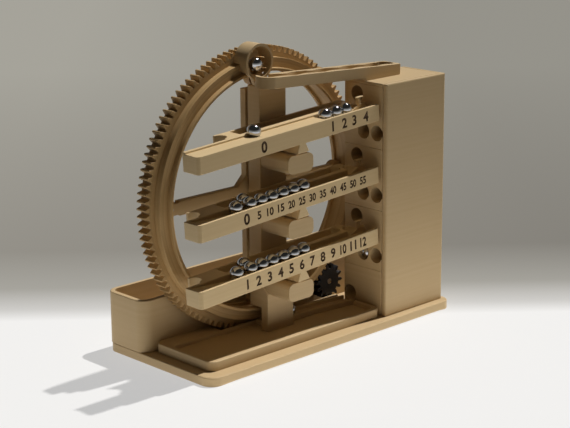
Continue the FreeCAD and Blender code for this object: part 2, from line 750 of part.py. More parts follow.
# Toothed wheel and pinion
def tooth_half_angle(teeth, radius):
    """Half the angle that a tooth fills at a radius, for involute flanks."""
    pitch_radius = size("gear_module") * teeth / 2
    pressure = math.radians(size("pressure_angle"))
    base_radius = pitch_radius * math.cos(pressure)
    at_pitch = (math.pi / 2 - size("tooth_backlash") / size("gear_module") / 2) / teeth
    spread = math.tan(pressure) - pressure
    if radius <= base_radius:
        return at_pitch + spread
    turn = math.acos(base_radius / radius)
    return at_pitch + spread - (math.tan(turn) - turn)


def gear_face(teeth, phase, flank_steps):
    """The outline of a gear about the origin in the XZ plane, with one tooth centred on phase."""
    module = size("gear_module")
    root = module * (teeth / 2 - size("root_depth_share"))
    tip = module * (teeth / 2 + 1)
    radii = [root + (tip - root) * step / flank_steps for step in range(flank_steps + 1)]
    points = []
    for tooth in range(teeth):
        middle = phase + tooth * math.tau / teeth
        flank = [(radius, tooth_half_angle(teeth, radius)) for radius in radii]
        for radius, half in flank:
            points.append((radius, middle - half))
        for radius, half in reversed(flank):
            points.append((radius, middle + half))
    corners = [Vector(radius * math.cos(turn), 0, radius * math.sin(turn)) for radius, turn in points]
    return Part.Face(Part.makePolygon(corners + corners[:1]))


def ring(inner, outer, front, back):
    """A ring about the Y axis between two radii and two depths."""
    start, along = Vector(0, front, 0), Vector(0, 1, 0)
    solid = Part.makeCylinder(outer, back - front, start, along)
    if inner:
        solid = solid.cut(Part.makeCylinder(inner, back - front, start, along))
    return solid


def on_wheel(radius, turn_from_top, depth):
    turn = math.radians(turn_from_top)
    return Vector(radius * math.sin(turn), depth, radius * math.cos(turn))


wheel_depths = [at(name) for name in ("wheel_front", "drum_front", "gear_front", "wheel_back")]
front, drum, gear, back = wheel_depths
bore = size("bore_radius")
teeth_solid = gear_face(int(size("wheel_teeth")), math.pi / 2, 1).extrude(Vector(0, back - gear, 0))
teeth_solid.translate(Vector(0, gear, 0))
wheel_solid = teeth_solid.cut(ring(0, bore, gear, back))
wheel_solid = wheel_solid.fuse(ring(bore, size("drum_radius"), drum, gear))
groove_start = at("groove_front")
wheel_solid = wheel_solid.cut(ring(bore - size("cut_overrun"), size("groove_radius"), groove_start,
                                   groove_start + size("groove_width")))
pocket_start = on_wheel(size("pocket_radius"), size("pocket_angle"), front - size("cut_overrun"))
pocket_depth = size("cut_overrun") + size("lip_depth") + size("pocket_depth")
pocket_tool = Part.makeCylinder((size("ball_diameter") + size("pocket_clearance")) / 2, pocket_depth,
                                pocket_start, Vector(0, 1, 0))
magnet_start = on_wheel(size("pocket_radius"), size("pocket_angle"), drum + size("pocket_depth"))
magnet_bore = Part.makeCylinder(size("magnet_diameter") / 2 + size("seat_clearance"),
                                size("magnet_height"), magnet_start, Vector(0, 1, 0))
wheel_solid = wheel_solid.cut([pocket_tool, magnet_bore])
lip_solid = ring(bore, size("lip_radius"), front, drum).cut(pocket_tool)
wheel_place = Placement(Vector(at("wheel_x"), 0, at("wheel_z")), Rotation())
lift_wheel = doc.addObject("Part::Feature", "lift_wheel")
lift_wheel.Shape = wheel_solid.removeSplitter()
lift_wheel.Placement = wheel_place
part("lift_wheel", lift_wheel)

# The lip is a ring of its own on the face of the drum.
wheel_lip = doc.addObject("Part::Feature", "wheel_lip")
wheel_lip.Shape = lip_solid
wheel_lip.Placement = wheel_place
part("wheel_lip", wheel_lip)

magnet = doc.addObject("Part::Feature", "pocket_magnet")
magnet.Shape = Part.makeCylinder(size("magnet_diameter") / 2, size("magnet_height"), magnet_start,
                                 Vector(0, 1, 0))
magnet.Placement = wheel_place
part("pocket_magnet", magnet)

# The wheel has a tooth straight up, so the pinion is turned until its gap meets the wheel's tooth.
wheel_count, pinion_count = int(size("wheel_teeth")), int(size("pinion_teeth"))
mesh_turn = math.atan2(at("pinion_z") - at("wheel_z"), at("pinion_x") - at("wheel_x"))
tooth_angle = math.tau / wheel_count
past_tooth = (mesh_turn - math.pi / 2) % tooth_angle
pinion_gap = mesh_turn + math.pi + past_tooth * wheel_count / pinion_count
pinion_phase = pinion_gap + math.pi / pinion_count
pinion_solid = gear_face(pinion_count, pinion_phase, 3).extrude(Vector(0, back - gear, 0))
pinion_solid.translate(Vector(0, gear, 0))
shaft_radius = size("shaft_diameter") / 2
pinion_solid = pinion_solid.cut(ring(0, shaft_radius + size("seat_clearance"), gear, back))
pinion = doc.addObject("Part::Feature", "drive_pinion")
pinion.Shape = pinion_solid
pinion.Placement = Placement(Vector(at("pinion_x"), 0, at("pinion_z")), Rotation())
part("drive_pinion", pinion)

# Rails. The top one counts minutes. Each is made level about its pivot and then set at its rest tilt.
TOP_STEP = len(MODULES) - 1
HALF_TURN = 180


def front_left_corner(edge):
    box = edge.BoundBox
    return upright(edge) and box.XMax < 0 and box.YMax < at("rail_front") + TOLERANCE


def rail(step, name):
    first = step == TOP_STEP
    lip = "minute_lip_rise" if first else "0"
    rear_left = "minute_rear_left_reach" if first else "rear_left_reach"
    floor, top = "rail_bottom_rise + floor_height", "rail_bottom_rise + rail_height"
    front_blank = block(f"{name}_front_bar", "-rail_left_reach", "rail_front", "rail_bottom_rise",
                        "rail_left_reach + rail_right_reach", "channel_back - rail_front", "rail_height")
    front_bar = rounded(f"{name}_front_round", front_blank, size("rail_corner"), front_left_corner)
    wall = block(f"{name}_back_wall", "-rail_left_reach", "channel_back", "rail_bottom_rise",
                 "rail_left_reach + back_wall_reach", "back_wall", f"rail_height + {lip}")
    sill = block(f"{name}_sill", "back_wall_reach", "channel_back", "rail_bottom_rise",
                 "rail_right_reach - back_wall_reach", "back_wall", "floor_height")
    rear = block(f"{name}_rear_bar", f"-{rear_left}", "rear_front", "rail_bottom_rise",
                 f"{rear_left} + rail_right_reach", "rear_width", f"rail_height + {lip}")
    lug = profile(f"{name}_lug", "XZ",
                  [("-lug_width / 2", "-pin_rise"), ("lug_width / 2", "-pin_rise"),
                   ("lug_neck / 2", "rail_bottom_rise"), ("lug_neck / 2", floor),
                   ("-lug_neck / 2", floor), ("-lug_neck / 2", "rail_bottom_rise")],
                  "rail_back - rail_front - back_wall", y="rail_front")
    stem_left = "divider_right - divider_stem_length"
    stem_top = f"{top} + divider_rise - divider_cap_height"
    divider = profile(f"{name}_divider", "XZ",
                      [("divider_left", floor), ("rail_right_reach", floor), ("rail_right_reach", top),
                       ("divider_right", top), ("divider_right", stem_top), (stem_left, stem_top),
                       (stem_left, f"{top} - edge_round")],
                      "back_wall", y="channel_back")
    cap = block(f"{name}_divider_cap", f"{stem_left} - (divider_cap_length - divider_stem_length) / 4",
                "channel_back + (back_wall - divider_cap_width) / 2", stem_top, "divider_cap_length",
                "divider_cap_width", "divider_cap_height")
    solid = join(f"{name}_rail_blank", front_bar, wall, sill, rear, lug, divider, cap)
    channel_left = "minute_channel_left" if first else "-(fixed_ball_reach + ball_diameter / 2)"
    shelf = f"{top} - shelf_drop"
    guide_x = "back_wall_reach + guide_radius"
    slot_left = f"-{rear_left} + rear_width" if first else "-slot_left_reach"
    slot_end = "back_wall_reach - slot_width / 2"
    tools = [
        block(f"{name}_channel", channel_left, "channel_front", floor,
              f"rail_right_reach - ({channel_left}) + {OVER}", "channel_width", "rail_height"),
        block(f"{name}_shelf", guide_x, "rear_front", shelf, f"rail_right_reach - ({guide_x}) + {OVER}",
              f"rear_width + {OVER}", "rail_height"),
        rod(f"{name}_pin_bore", "Y", "0", "channel_front", "0", "pin_diameter / 2 + running_clearance",
            "rail_back - rail_front"),
        block(f"{name}_slot", slot_left, "slot_y - slot_width / 2", "rail_bottom_rise + slot_floor",
              f"{slot_end} - ({slot_left})", "slot_width", "rail_height + minute_lip_rise"),
        rod(f"{name}_slot_end", "Z", slot_end, "slot_y", "rail_bottom_rise + slot_floor", "slot_width / 2",
            "rail_height + minute_lip_rise"),
        rod(f"{name}_end_notch", "Z", f"-{rear_left}", "slot_y", f"rail_bottom_rise - {OVER}",
            "slot_width / 2", f"rail_height + minute_lip_rise + 2 * {OVER}"),
    ]
    guide = rod(f"{name}_guide", "Z", guide_x, "rear_front", shelf, "guide_radius", "rail_height")
    guide.Angle = HALF_TURN
    tools.append(guide)
    if first:
        tools.append(ball(f"{name}_fixed_seat", "-minute_fixed_reach", "minute_fixed_y", "minute_fixed_rise",
                          "ball_diameter / 2 + seat_clearance"))
    else:
        ramp_left = "-rail_left_reach + front_wall"
        tools.append(profile(f"{name}_run_in", "XZ",
                             [(ramp_left, f"{top} - edge_round"), (channel_left, floor),
                              (channel_left, f"{top} + {OVER}"), (ramp_left, f"{top} + {OVER}")],
                             "channel_width", y="channel_front"))
    whole = cut(f"{name}_rail", solid, *tools)
    whole.Placement = Placement(Vector(), Rotation(Vector(0, 1, 0), -size("rest_tilt")))
    bind(whole, x="wheel_x", z=pivot_height(step))
    return part(f"{name}_rail", whole)


def rail_balls(step, name, label, centres, y, rise):
    """A row of balls in a rail, placed level about the pivot and tilted with the rail."""
    solids = [ball(f"{label}_{i}", centre, y, rise) for i, centre in enumerate(centres)]
    row = group(label, *solids)
    row.Placement = Placement(Vector(), Rotation(Vector(0, 1, 0), -size("rest_tilt")))
    bind(row, x="wheel_x", z=pivot_height(step))
    return part(label, row)


ROLLING = {"hour": 6, "five_minute": 6, "minute": 3}
channel_rise = "rail_bottom_rise + floor_height + ball_diameter / 2 + ball_seat"
slot_rise = "rail_bottom_rise + slot_floor + ball_diameter / 2 + ball_seat"
for step, name in enumerate(MODULES):
    rail(step, name)
    first = step == TOP_STEP
    start = "minute_first_reach" if first else "first_ball_reach"
    centres = [f"-({start}) + {i} * (ball_diameter + ball_gap)" for i in range(ROLLING[name])]
    rail_balls(step, name, f"{name}_balls", centres, "channel_y", channel_rise)
    if first:
        rail_balls(step, name, f"{name}_fixed_ball", ["-minute_fixed_reach"], "minute_fixed_y",
                   "minute_fixed_rise")
    else:
        rail_balls(step, name, f"{name}_fixed_ball", ["-fixed_ball_reach"], "channel_y", channel_rise)
    weight = "minute_weight_reach" if first else "weight_ball_reach"
    rail_balls(step, name, f"{name}_weight_ball", [f"-{weight}"], "slot_y", slot_rise)

# Ramp, hoop and return chute. The ball enters the ramp through a gap in its back wall.
ramp_cup = "ramp_width / 2 - ramp_length"
ramp_square = block("ramp_square", ramp_cup, "-ramp_width / 2", "0", f"-({ramp_cup})", "ramp_width",
                    "ramp_height")
ramp_end = rod("ramp_end", "Z", ramp_cup, "0", "0", "ramp_width / 2", "ramp_height")
ramp_solid = join("ramp_solid", ramp_square, ramp_end)


WAVE_STEPS = 8


def wave_tool(name):
    """The winding channel of the ramp: a band of steady width about a sine line."""
    swing, half = size("ramp_wave_swing"), at("ramp_wave_width") / 2
    right = at("feed_x") - at("ramp_right")
    left = size("ramp_width") / 2 - at("ramp_length")
    floor, top = size("ramp_floor"), size("ramp_height") + size("cut_overrun")
    steps = int(WAVE_STEPS * size("ramp_waves"))
    middle = [(right - (right - left) * i / steps, swing * math.sin(i * math.tau / WAVE_STEPS))
              for i in range(steps + 1)]
    sides = []
    for side in (half, -half):
        line = Part.BSplineCurve()
        line.interpolate([Vector(x, y + side, floor) for x, y in middle])
        sides.append(line.toShape())
    ends = [Part.makeLine(sides[0].Vertexes[i].Point, sides[1].Vertexes[i].Point) for i in (0, -1)]
    band = Part.Face(Part.Wire(Part.sortEdges(sides + ends)[0])).extrude(Vector(0, 0, top - floor))
    caps = [Part.makeCylinder(half, top - floor, Vector(x, y, floor)) for x, y in (middle[0], middle[-1])]
    solid = doc.addObject("Part::Feature", name)
    solid.Shape = band.fuse(caps)
    return solid


ramp_entry = block("ramp_entry", "hoop_x - ramp_right - duct_diameter / 2", "0", "ramp_floor",
                   "duct_diameter", f"ramp_width / 2 + {OVER}", "ramp_height")
ramp_bar = cut("ramp_bar", ramp_solid, wave_tool("ramp_wave"), ramp_entry)
ramp_bar.Placement = Placement(Vector(), Rotation(Vector(0, 1, 0), size("ramp_slope")))
bind(ramp_bar, x="ramp_right", y="ramp_y", z="cap_top")
ramp_foot_length = "(ramp_right - tower_left)"
ramp_foot = profile("ramp_foot", "XZ",
                    [("0", "0"), (f"-{ramp_foot_length}", "0"),
                     (f"-{ramp_foot_length}", f"{ramp_foot_length} * ramp_angle_rise + ramp_floor / 2"),
                     ("0", "ramp_floor / 2")],
                    "ramp_width", "ramp_right", "ramp_front", "cap_top")
ramp_drop = rod("ramp_drop", "Z", "feed_x", "feed_y", f"cap_top - {OVER}", "duct_diameter / 2",
                f"ramp_height + {ramp_foot_length} * ramp_angle_rise + 2 * {OVER}")
part("top_ramp", cut("top_ramp", join("ramp_whole", ramp_bar, ramp_foot), ramp_drop))

# The hoop reaches back over the steps of the wheel, as far as each step allows.
hoop_reach = "gear_front - 2 * side_clearance - hoop_front"
hoop_ring = rod("hoop_ring", "Y", "hoop_x", "hoop_front", "hoop_height", "hoop_radius", hoop_reach)
foot_left, foot_right = "wheel_x - post_width / 2", "wheel_x - post_width / 2 + hoop_foot_width"
foot_high = "hoop_height - hoop_radius * sqrt(3) / 2"
hoop_foot_low = profile("hoop_foot_outline", "XZ",
                        [(foot_left, ramp_underside(foot_left)), (foot_right, ramp_underside(foot_right)),
                         ("hoop_x + hoop_radius / 2", foot_high), ("hoop_x", "hoop_height"),
                         ("hoop_x - hoop_radius / 2", foot_high)],
                        "hoop_depth", y="hoop_front")
hoop_bore = rod("hoop_bore", "Y", "hoop_x", f"hoop_front - {OVER}", "hoop_height",
                "hoop_radius - hoop_wall", f"{hoop_reach} + 2 * {OVER}")
hoop_lip_room = rod("hoop_lip_room", "Y", "wheel_x", "hoop_back", "wheel_z",
                    "lip_radius + 2 * side_clearance", hoop_reach)
hoop_drum_room = rod("hoop_drum_room", "Y", "wheel_x", "drum_front - 2 * side_clearance", "wheel_z",
                     "drum_radius + 2 * side_clearance", hoop_reach)
part("ball_hoop", cut("ball_hoop", join("hoop_blank", hoop_ring, hoop_foot_low), hoop_bore, hoop_lip_room,
                      hoop_drum_room))

# The chute lies in the tray. It starts at the foot of the tower and ends behind the post, where the
# drum of the wheel is its back wall.
bend_shift = "(foot_exit_y - chute_ball_y)"
CHANNEL_SIDES = ("chute_ball_y - channel_width / 2", "chute_ball_y + channel_width / 2")
chute_outline = [("chute_end_left", "post_lower_back + side_clearance"),
                 ("wheel_x + post_width / 2 + chute_post_gap", "post_lower_back + side_clearance"),
                 ("wheel_x + post_width / 2 + chute_post_gap", "chute_front"), ("chute_bend", "chute_front"),
                 ("tray_right", f"chute_front + {bend_shift}"), ("tray_right", f"chute_back + {bend_shift}"),
                 ("chute_bend", "chute_back"), ("chute_end_left", "chute_back")]
channel_outline = [("chute_end_left + chute_wall", CHANNEL_SIDES[0]), ("chute_bend", CHANNEL_SIDES[0]),
                   (f"tray_right + {OVER}", f"{CHANNEL_SIDES[0]} + {bend_shift}"),
                   (f"tray_right + {OVER}", f"{CHANNEL_SIDES[1]} + {bend_shift}"),
                   ("chute_bend", CHANNEL_SIDES[1]), ("chute_end_left + chute_wall", CHANNEL_SIDES[1])]
chute_blank = profile("chute_blank", "XY", chute_outline, "tray_recess + chute_rim_rise", z="tray_floor")
chute_channel = profile("chute_channel", "XY", channel_outline, "tray_top - tray_floor", z="chute_floor_top")
part("return_chute", cut("return_chute", chute_blank, chute_channel))

RETURN_BALLS = 3
ball_step = "(ball_diameter + ball_gap)"
chute_balls = [ball(f"return_ball_{i}", f"wheel_x + {i} * {ball_step}", "chute_ball_y", "chute_ball_z")
               for i in range(RETURN_BALLS)]
part("return_balls", group("return_balls", *chute_balls))
part("lifted_ball", ball("lifted_ball", "wheel_x + lifted_reach * sin(pocket_angle * 1deg)", "chute_ball_y",
                         "wheel_z + lifted_reach * cos(pocket_angle * 1deg)"))
tower_ball = ball("tower_ball", "tower_left + ball_diameter / 2 + ball_gap", "middle_exit_y",
                  "foot_top + module_height - exit_drop - duct_diameter / 2 + ball_diameter / 2 + ball_seat")
part("tower_ball", tower_ball)

# Rear box, motor and electronics
box_length = "base_length - box_right_inset"
box_depth = "box_back - box_front"
box_blank = plate("box_blank", "base_left", "box_front", "base_height", box_length, box_depth, "box_height",
                  "box_corner")
box_inside = plate("box_inside", "base_left + box_wall", "box_inner_front", "box_floor",
                   f"{box_length} - 2 * box_wall", f"{box_depth} - 2 * box_wall", "box_height",
                   "box_corner - box_wall")
box_soft = rounded("box_soft", box_blank, size("edge_round"), level_at(at("box_top")))
shaft_hole = rod("shaft_hole", "Y", "pinion_x", f"box_front - {OVER}", "pinion_z",
                 "motor_boss_diameter / 2 + seat_clearance", f"box_wall + 2 * {OVER}")
socket_hole = rod("socket_hole", "Y", "socket_x", f"box_back - box_wall - {OVER}",
                  "socket_height", "socket_diameter / 2 + seat_clearance", f"box_wall + 2 * {OVER}")
box_bores = [screw_bore(f"box_bore_{i}", x, y, "box_floor") for i, (x, y) in enumerate(BOX_SCREWS)]
part("rear_box", cut("rear_box", box_soft, box_inside, shaft_hole, socket_hole, *box_bores))

gearbox = rod("gearbox", "Y", "pinion_x", "box_inner_front", "pinion_z", "motor_diameter / 2",
              "gearbox_length")
motor_can = rod("motor_can", "Y", "pinion_x", "box_inner_front + gearbox_length", "pinion_z",
                "motor_diameter / 2 - edge_round", "motor_length")
motor_boss = rod("motor_boss", "Y", "pinion_x", "box_front", "pinion_z", "motor_boss_diameter / 2",
                 "box_wall")
shaft_bore = rod("shaft_bore", "Y", "pinion_x", f"box_front - {OVER}", "pinion_z",
                 "shaft_diameter / 2 + running_clearance", f"box_wall + gearbox_length + {OVER}")
part("gear_motor", cut("gear_motor", join("motor_whole", gearbox, motor_can, motor_boss), shaft_bore))
part("motor_shaft", rod("motor_shaft", "Y", "pinion_x", "gear_front", "pinion_z", "shaft_diameter / 2",
                        "box_inner_front + gearbox_length - gear_front - side_clearance"))

BOARD_CORNERS = [(across, back) for across in (0, 1) for back in (0, 1)]
board_holes, spacers = [], []
for number, (across, back) in enumerate(BOARD_CORNERS):
    hole_x = f"board_left + spacer_diameter / 2 + {across} * (board_length - spacer_diameter)"
    hole_y = f"board_front + spacer_diameter / 2 + {back} * (board_depth - spacer_diameter)"
    spacers.append(rod(f"board_spacer_{number}", "Z", hole_x, hole_y, "box_floor", "spacer_diameter / 2",
                       "spacer_height"))
board = block("board_blank", "board_left", "board_front", "board_bottom", "board_length", "board_depth",
              "board_thickness")
part("board_spacers", group("board_spacers", *spacers))
part("controller_board", board)
chips = []
for number, (middle_x, length) in enumerate((("board_length / 4", "chip_length"),
                                             ("board_length * 3 / 4", "chip_length / 2"))):
    chips.append(block(f"chip_{number}", f"board_left + {middle_x} - {length} / 2",
                       "board_front + board_depth / 2 - chip_length / 4",
                       "board_bottom + board_thickness", length, "chip_length / 2", "chip_height"))
part("board_chips", group("board_chips", *chips))

socket_body = rod("socket_body", "Y", "socket_x", "box_back - socket_length", "socket_height",
                  "socket_diameter / 2", "socket_length")
socket_collar = rod("socket_collar", "Y", "socket_x", "box_back - box_wall - socket_nut_height",
                    "socket_height", "socket_nut_diameter / 2", "socket_nut_height")
socket_bore = rod("socket_bore", "Y", "socket_x", "box_back - socket_length / 2", "socket_height",
                  "socket_diameter / 2 - edge_round", f"socket_length / 2 + {OVER}")
part("power_socket", cut("power_socket", join("socket_whole", socket_body, socket_collar), socket_bore))

doc.recompute()
faults = [item.Name for item in doc.Objects if {"Invalid", "Error"} & set(item.State)]
faults += [item.Label for item in parts if item.Shape.isNull() or not item.Shape.isValid()]
if faults:
    raise SystemExit("These objects failed: " + ", ".join(faults))

os.makedirs("parts", exist_ok=True)
for item in parts:
    item.Shape.exportStep(f"parts/{item.Label}.step")
    print(item.Label, len(item.Shape.Solids), round(item.Shape.Volume, 1))
print(len(parts), "sub-parts")
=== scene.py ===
# %% [markdown]
# # A rolling ball clock
# The clock is printed in tan plastic. A toothed wheel lifts steel balls, and three tipping rails
# count them as minutes, five minutes and hours. The pieces and their places come from the
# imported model. This lesson gives them their finish: soft printed edges, layer lines, engraved
# numbers and polished balls. It also lights them like the photograph.

# %% Load the clock
import json
import math

import bmesh
import bpy
from mathutils import Matrix, Vector

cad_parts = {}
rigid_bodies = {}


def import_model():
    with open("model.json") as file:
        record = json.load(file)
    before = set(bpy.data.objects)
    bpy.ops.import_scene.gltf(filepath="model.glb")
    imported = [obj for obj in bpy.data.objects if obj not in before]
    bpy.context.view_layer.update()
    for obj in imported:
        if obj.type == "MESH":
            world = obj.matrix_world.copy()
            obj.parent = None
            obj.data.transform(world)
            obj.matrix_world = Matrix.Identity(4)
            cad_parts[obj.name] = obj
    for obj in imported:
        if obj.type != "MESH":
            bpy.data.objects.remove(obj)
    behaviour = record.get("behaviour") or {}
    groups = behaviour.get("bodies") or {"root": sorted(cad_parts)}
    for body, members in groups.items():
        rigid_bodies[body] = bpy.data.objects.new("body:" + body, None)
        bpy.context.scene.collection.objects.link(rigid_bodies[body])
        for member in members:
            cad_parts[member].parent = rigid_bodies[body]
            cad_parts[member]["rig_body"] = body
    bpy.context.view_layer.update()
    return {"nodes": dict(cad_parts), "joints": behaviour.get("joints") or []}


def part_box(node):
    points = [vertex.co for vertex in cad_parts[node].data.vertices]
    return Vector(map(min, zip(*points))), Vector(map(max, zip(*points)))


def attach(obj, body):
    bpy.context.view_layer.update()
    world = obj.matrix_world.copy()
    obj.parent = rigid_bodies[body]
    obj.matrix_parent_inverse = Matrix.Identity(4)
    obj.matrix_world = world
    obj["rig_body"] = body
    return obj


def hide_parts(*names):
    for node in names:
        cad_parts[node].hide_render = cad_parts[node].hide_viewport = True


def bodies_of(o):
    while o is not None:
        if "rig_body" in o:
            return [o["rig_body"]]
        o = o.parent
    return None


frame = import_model()
nodes = frame["nodes"]

# %% [markdown]
# ## Camera
# The place and the angles of the camera were found by matching the edges of the base, the tower
# and the wheel. A long lens keeps upright lines nearly parallel. The camera is turned by three
# rotations, each about one axis: first a small roll, then the tilt down, then the turn to the
# side.

# %% Camera
CAMERA_PLACE = Vector((-0.7625, -0.7971, 0.3842))
CAMERA_TURN = math.radians(43.74)
CAMERA_TILT = math.radians(-15.32)
CAMERA_ROLL = math.radians(-0.44)
CAMERA_LENS = 105.13

camera = bpy.data.objects.new("camera", bpy.data.cameras.new("camera"))
camera.data.lens = CAMERA_LENS
camera.matrix_world = (
    Matrix.Translation(CAMERA_PLACE)
    @ Matrix.Rotation(-CAMERA_TURN, 4, "Z")
    @ Matrix.Rotation(math.pi / 2 + CAMERA_TILT, 4, "X")
    @ Matrix.Rotation(CAMERA_ROLL, 4, "Z")
)
bpy.context.scene.collection.objects.link(camera)
bpy.context.scene.camera = camera
bpy.context.scene.view_settings.view_transform = "Standard"

# %% [markdown]
# ## Colours and nodes
# A picture editor shows colours from 0 to 255, but a shader works with linear light. One small
# function turns the first into the second. Another adds a node and links its inputs in one line,
# and a few more build on it for the nodes that come up again and again. Each of them gives back
# the output of its node, so that they can be nested, and a material reads like a short recipe.

# %% Colours and nodes


def linear(red, green, blue):
    """A colour from 0 to 255 as linear values, by the sRGB curve, with a full alpha."""
    shares = [value / 255 for value in (red, green, blue)]
    light = [s / 12.92 if s < 0.04045 else ((s + 0.055) / 1.055) ** 2.4 for s in shares]
    return (*light, 1.0)


def add_node(tree, kind, inputs=(), **settings):
    """Add a node, set its options, and give each input a value or a link from another socket."""
    node = tree.nodes.new(kind)
    for name, value in settings.items():
        setattr(node, name, value)
    for name, value in dict(inputs).items():
        if isinstance(value, bpy.types.NodeSocket):
            tree.links.new(value, node.inputs[name])
        else:
            node.inputs[name].default_value = value
    return node


def wire(tree, node, **sources):
    """Link sockets to inputs of a node by name; an underscore stands for a space."""
    for name, source in sources.items():
        tree.links.new(source, node.inputs[name.replace("_", " ")])


def math_node(tree, operation, *values):
    """A sum, product or other operation on numbers."""
    return add_node(tree, "ShaderNodeMath", dict(enumerate(values)), operation=operation).outputs[0]


def in_range(tree, value, start, end, low=0.0, high=1.0, **settings):
    """A value carried from one range to another, and held at its ends."""
    return add_node(tree, "ShaderNodeMapRange", {
        "Value": value, "From Min": start, "From Max": end, "To Min": low, "To Max": high,
    }, **settings).outputs[0]


def blend_colours(tree, share, first, second):
    """A colour between two others."""
    return add_node(tree, "ShaderNodeMix", {0: share, 6: first, 7: second},
                    data_type="RGBA").outputs[2]


def scaled(tree, colour, amount):
    """A colour made weaker or stronger."""
    return add_node(tree, "ShaderNodeVectorMath", {0: colour, "Scale": amount},
                    operation="SCALE").outputs[0]


def object_spot(tree):
    """The place on the piece, which stays with the surface when the piece moves."""
    return add_node(tree, "ShaderNodeTexCoord").outputs["Object"]


def noise(tree, place, scale, detail, roughness=0.5):
    """Soft noise over a place in space, or along a line where the place is one number."""
    socket, dimensions = ("W", "1D") if place.type == "VALUE" else ("Vector", "3D")
    return add_node(tree, "ShaderNodeTexNoise", {
        socket: place, "Scale": scale, "Detail": detail, "Roughness": roughness,
    }, noise_dimensions=dimensions).outputs["Fac"]


def raised(tree, height, strength, relief):
    """The normal of a surface that a height raises, by relief in metres at full strength."""
    return add_node(tree, "ShaderNodeBump", {
        "Height": height, "Strength": strength, "Distance": relief}).outputs[0]


def new_group(name, numbers, results):
    """A node group that takes a place, called Spot, and some numbers, and gives some numbers."""
    tree = bpy.data.node_groups.new(name, "ShaderNodeTree")
    tree.interface.new_socket("Spot", in_out="INPUT", socket_type="NodeSocketVector")
    for number in numbers:
        tree.interface.new_socket(number, in_out="INPUT", socket_type="NodeSocketFloat")
    for result in results:
        tree.interface.new_socket(result, in_out="OUTPUT", socket_type="NodeSocketFloat")
    return tree, add_node(tree, "NodeGroupInput").outputs, add_node(tree, "NodeGroupOutput")


def new_material(name, **plain):
    """A material with a Principled shader; plain holds the sockets that stay constant."""
    material = bpy.data.materials.new(name)
    material.use_nodes = True
    tree = material.node_tree
    shader = tree.nodes["Principled BSDF"]
    for socket, value in plain.items():
        shader.inputs[socket.replace("_", " ")].default_value = value
    return material, tree, shader


print("middle grey as a shader sees it:", round(linear(128, 128, 128)[0], 3))

# %% [markdown]
# ## Printed plastic
# A printed part is a stack of thin layers. Seen from the side the layers are fine level lines,
# with a few wider bands where the plastic cooled a little differently. Seen from above they are
# the slanting lines of the nozzle's path. Both are made in one node group, which takes the
# place along the stack, the place across the path, and how much a face looks along the stack.

# %% Printed plastic group
TOP_FACING = (0.9, 0.98)
BAND_SCALE, SWATH_SCALE = 420.0, 520.0
CLOUD_SCALE, SPECK_SCALE = 38.0, 2600.0
BAND_SHARE, CLOUD_SHARE, LINE_SHARE = 0.6, 0.4, 0.03
SPECK_RISE = 0.35


def print_group():
    """Layer lines on upright faces and nozzle paths on level ones: height, tone and gloss."""
    tree, given, put = new_group(
        "printed_layers", ("Along", "Across", "Facing", "Layer Height", "Path Width"),
        ("Height", "Tone", "Gloss"))
    level = in_range(tree, given["Facing"], *TOP_FACING)

    def ridges(place, pitch):
        turns = math_node(tree, "MULTIPLY", math_node(tree, "DIVIDE", place, pitch), math.tau)
        return math_node(tree, "MULTIPLY_ADD", math_node(tree, "SINE", turns), 0.5, 0.5)

    def by_facing(on_upright, on_level):
        return add_node(tree, "ShaderNodeMix", {0: level, 2: on_upright, 3: on_level},
                        data_type="FLOAT").outputs[0]

    lines = by_facing(ridges(given["Along"], given["Layer Height"]),
                      ridges(given["Across"], given["Path Width"]))
    bands = by_facing(noise(tree, given["Along"], BAND_SCALE, detail=3.0),
                      noise(tree, given["Across"], SWATH_SCALE, detail=2.0))
    cloud = noise(tree, given["Spot"], CLOUD_SCALE, detail=4.0, roughness=0.6)
    speck = noise(tree, given["Spot"], SPECK_SCALE, detail=2.0)
    patches = math_node(tree, "MULTIPLY_ADD", bands, BAND_SHARE,
                        math_node(tree, "MULTIPLY", cloud, CLOUD_SHARE))
    wire(tree, put,
         Height=math_node(tree, "MULTIPLY_ADD", speck, SPECK_RISE, lines),
         Tone=math_node(tree, "MULTIPLY_ADD", lines, LINE_SHARE, patches),
         Gloss=math_node(tree, "MULTIPLY_ADD", speck, 0.5,
                         math_node(tree, "MULTIPLY", lines, 0.5)))
    return tree


printed_layers = print_group()
print("print group with", len(printed_layers.nodes), "nodes")

# %% [markdown]
# The base, the tower and the rails were printed standing up, so their layers lie level. The wheel
# lay on its back, so its layers follow the Y axis, and the nozzle ran round it in rings. The
# rails are tipped by a few degrees at rest, and their layers are tipped with them. The rails are
# the same plastic as the base, but their tones are painted about a tenth brighter. That is painted
# light, for the sun and gloss on their tops. The same group serves all three: only the places that
# go into it differ.

# %% Tan plastic
LAYER_HEIGHT = 0.00045
PATH_WIDTH = 0.0008
TAN_LIGHT, TAN_DARK = linear(200, 175, 136), linear(192, 166, 125)
WHEEL_LIGHT, WHEEL_DARK = linear(206, 175, 126), linear(168, 134, 87)
# Painted light: the rail tones are the tan plastic made brighter, for the sun and gloss on their
# tops.
RAIL_PAINTED_BRIGHT_LIGHT, RAIL_PAINTED_BRIGHT_DARK = linear(214, 190, 148), linear(205, 179, 136)
TONE_RANGE = (0.2, 0.85)
PRINT_ROUGHNESS = (0.42, 0.62)
PRINT_BUMP, PRINT_RELIEF = 0.22, 0.00003
REST_TILT = math.radians(3.4)


def joint_place(name):
    """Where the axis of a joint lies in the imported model."""
    return Vector(next(joint for joint in frame["joints"] if joint["name"] == name)["pos_m"])


WHEEL_CENTRE = joint_place("wheel_spin")


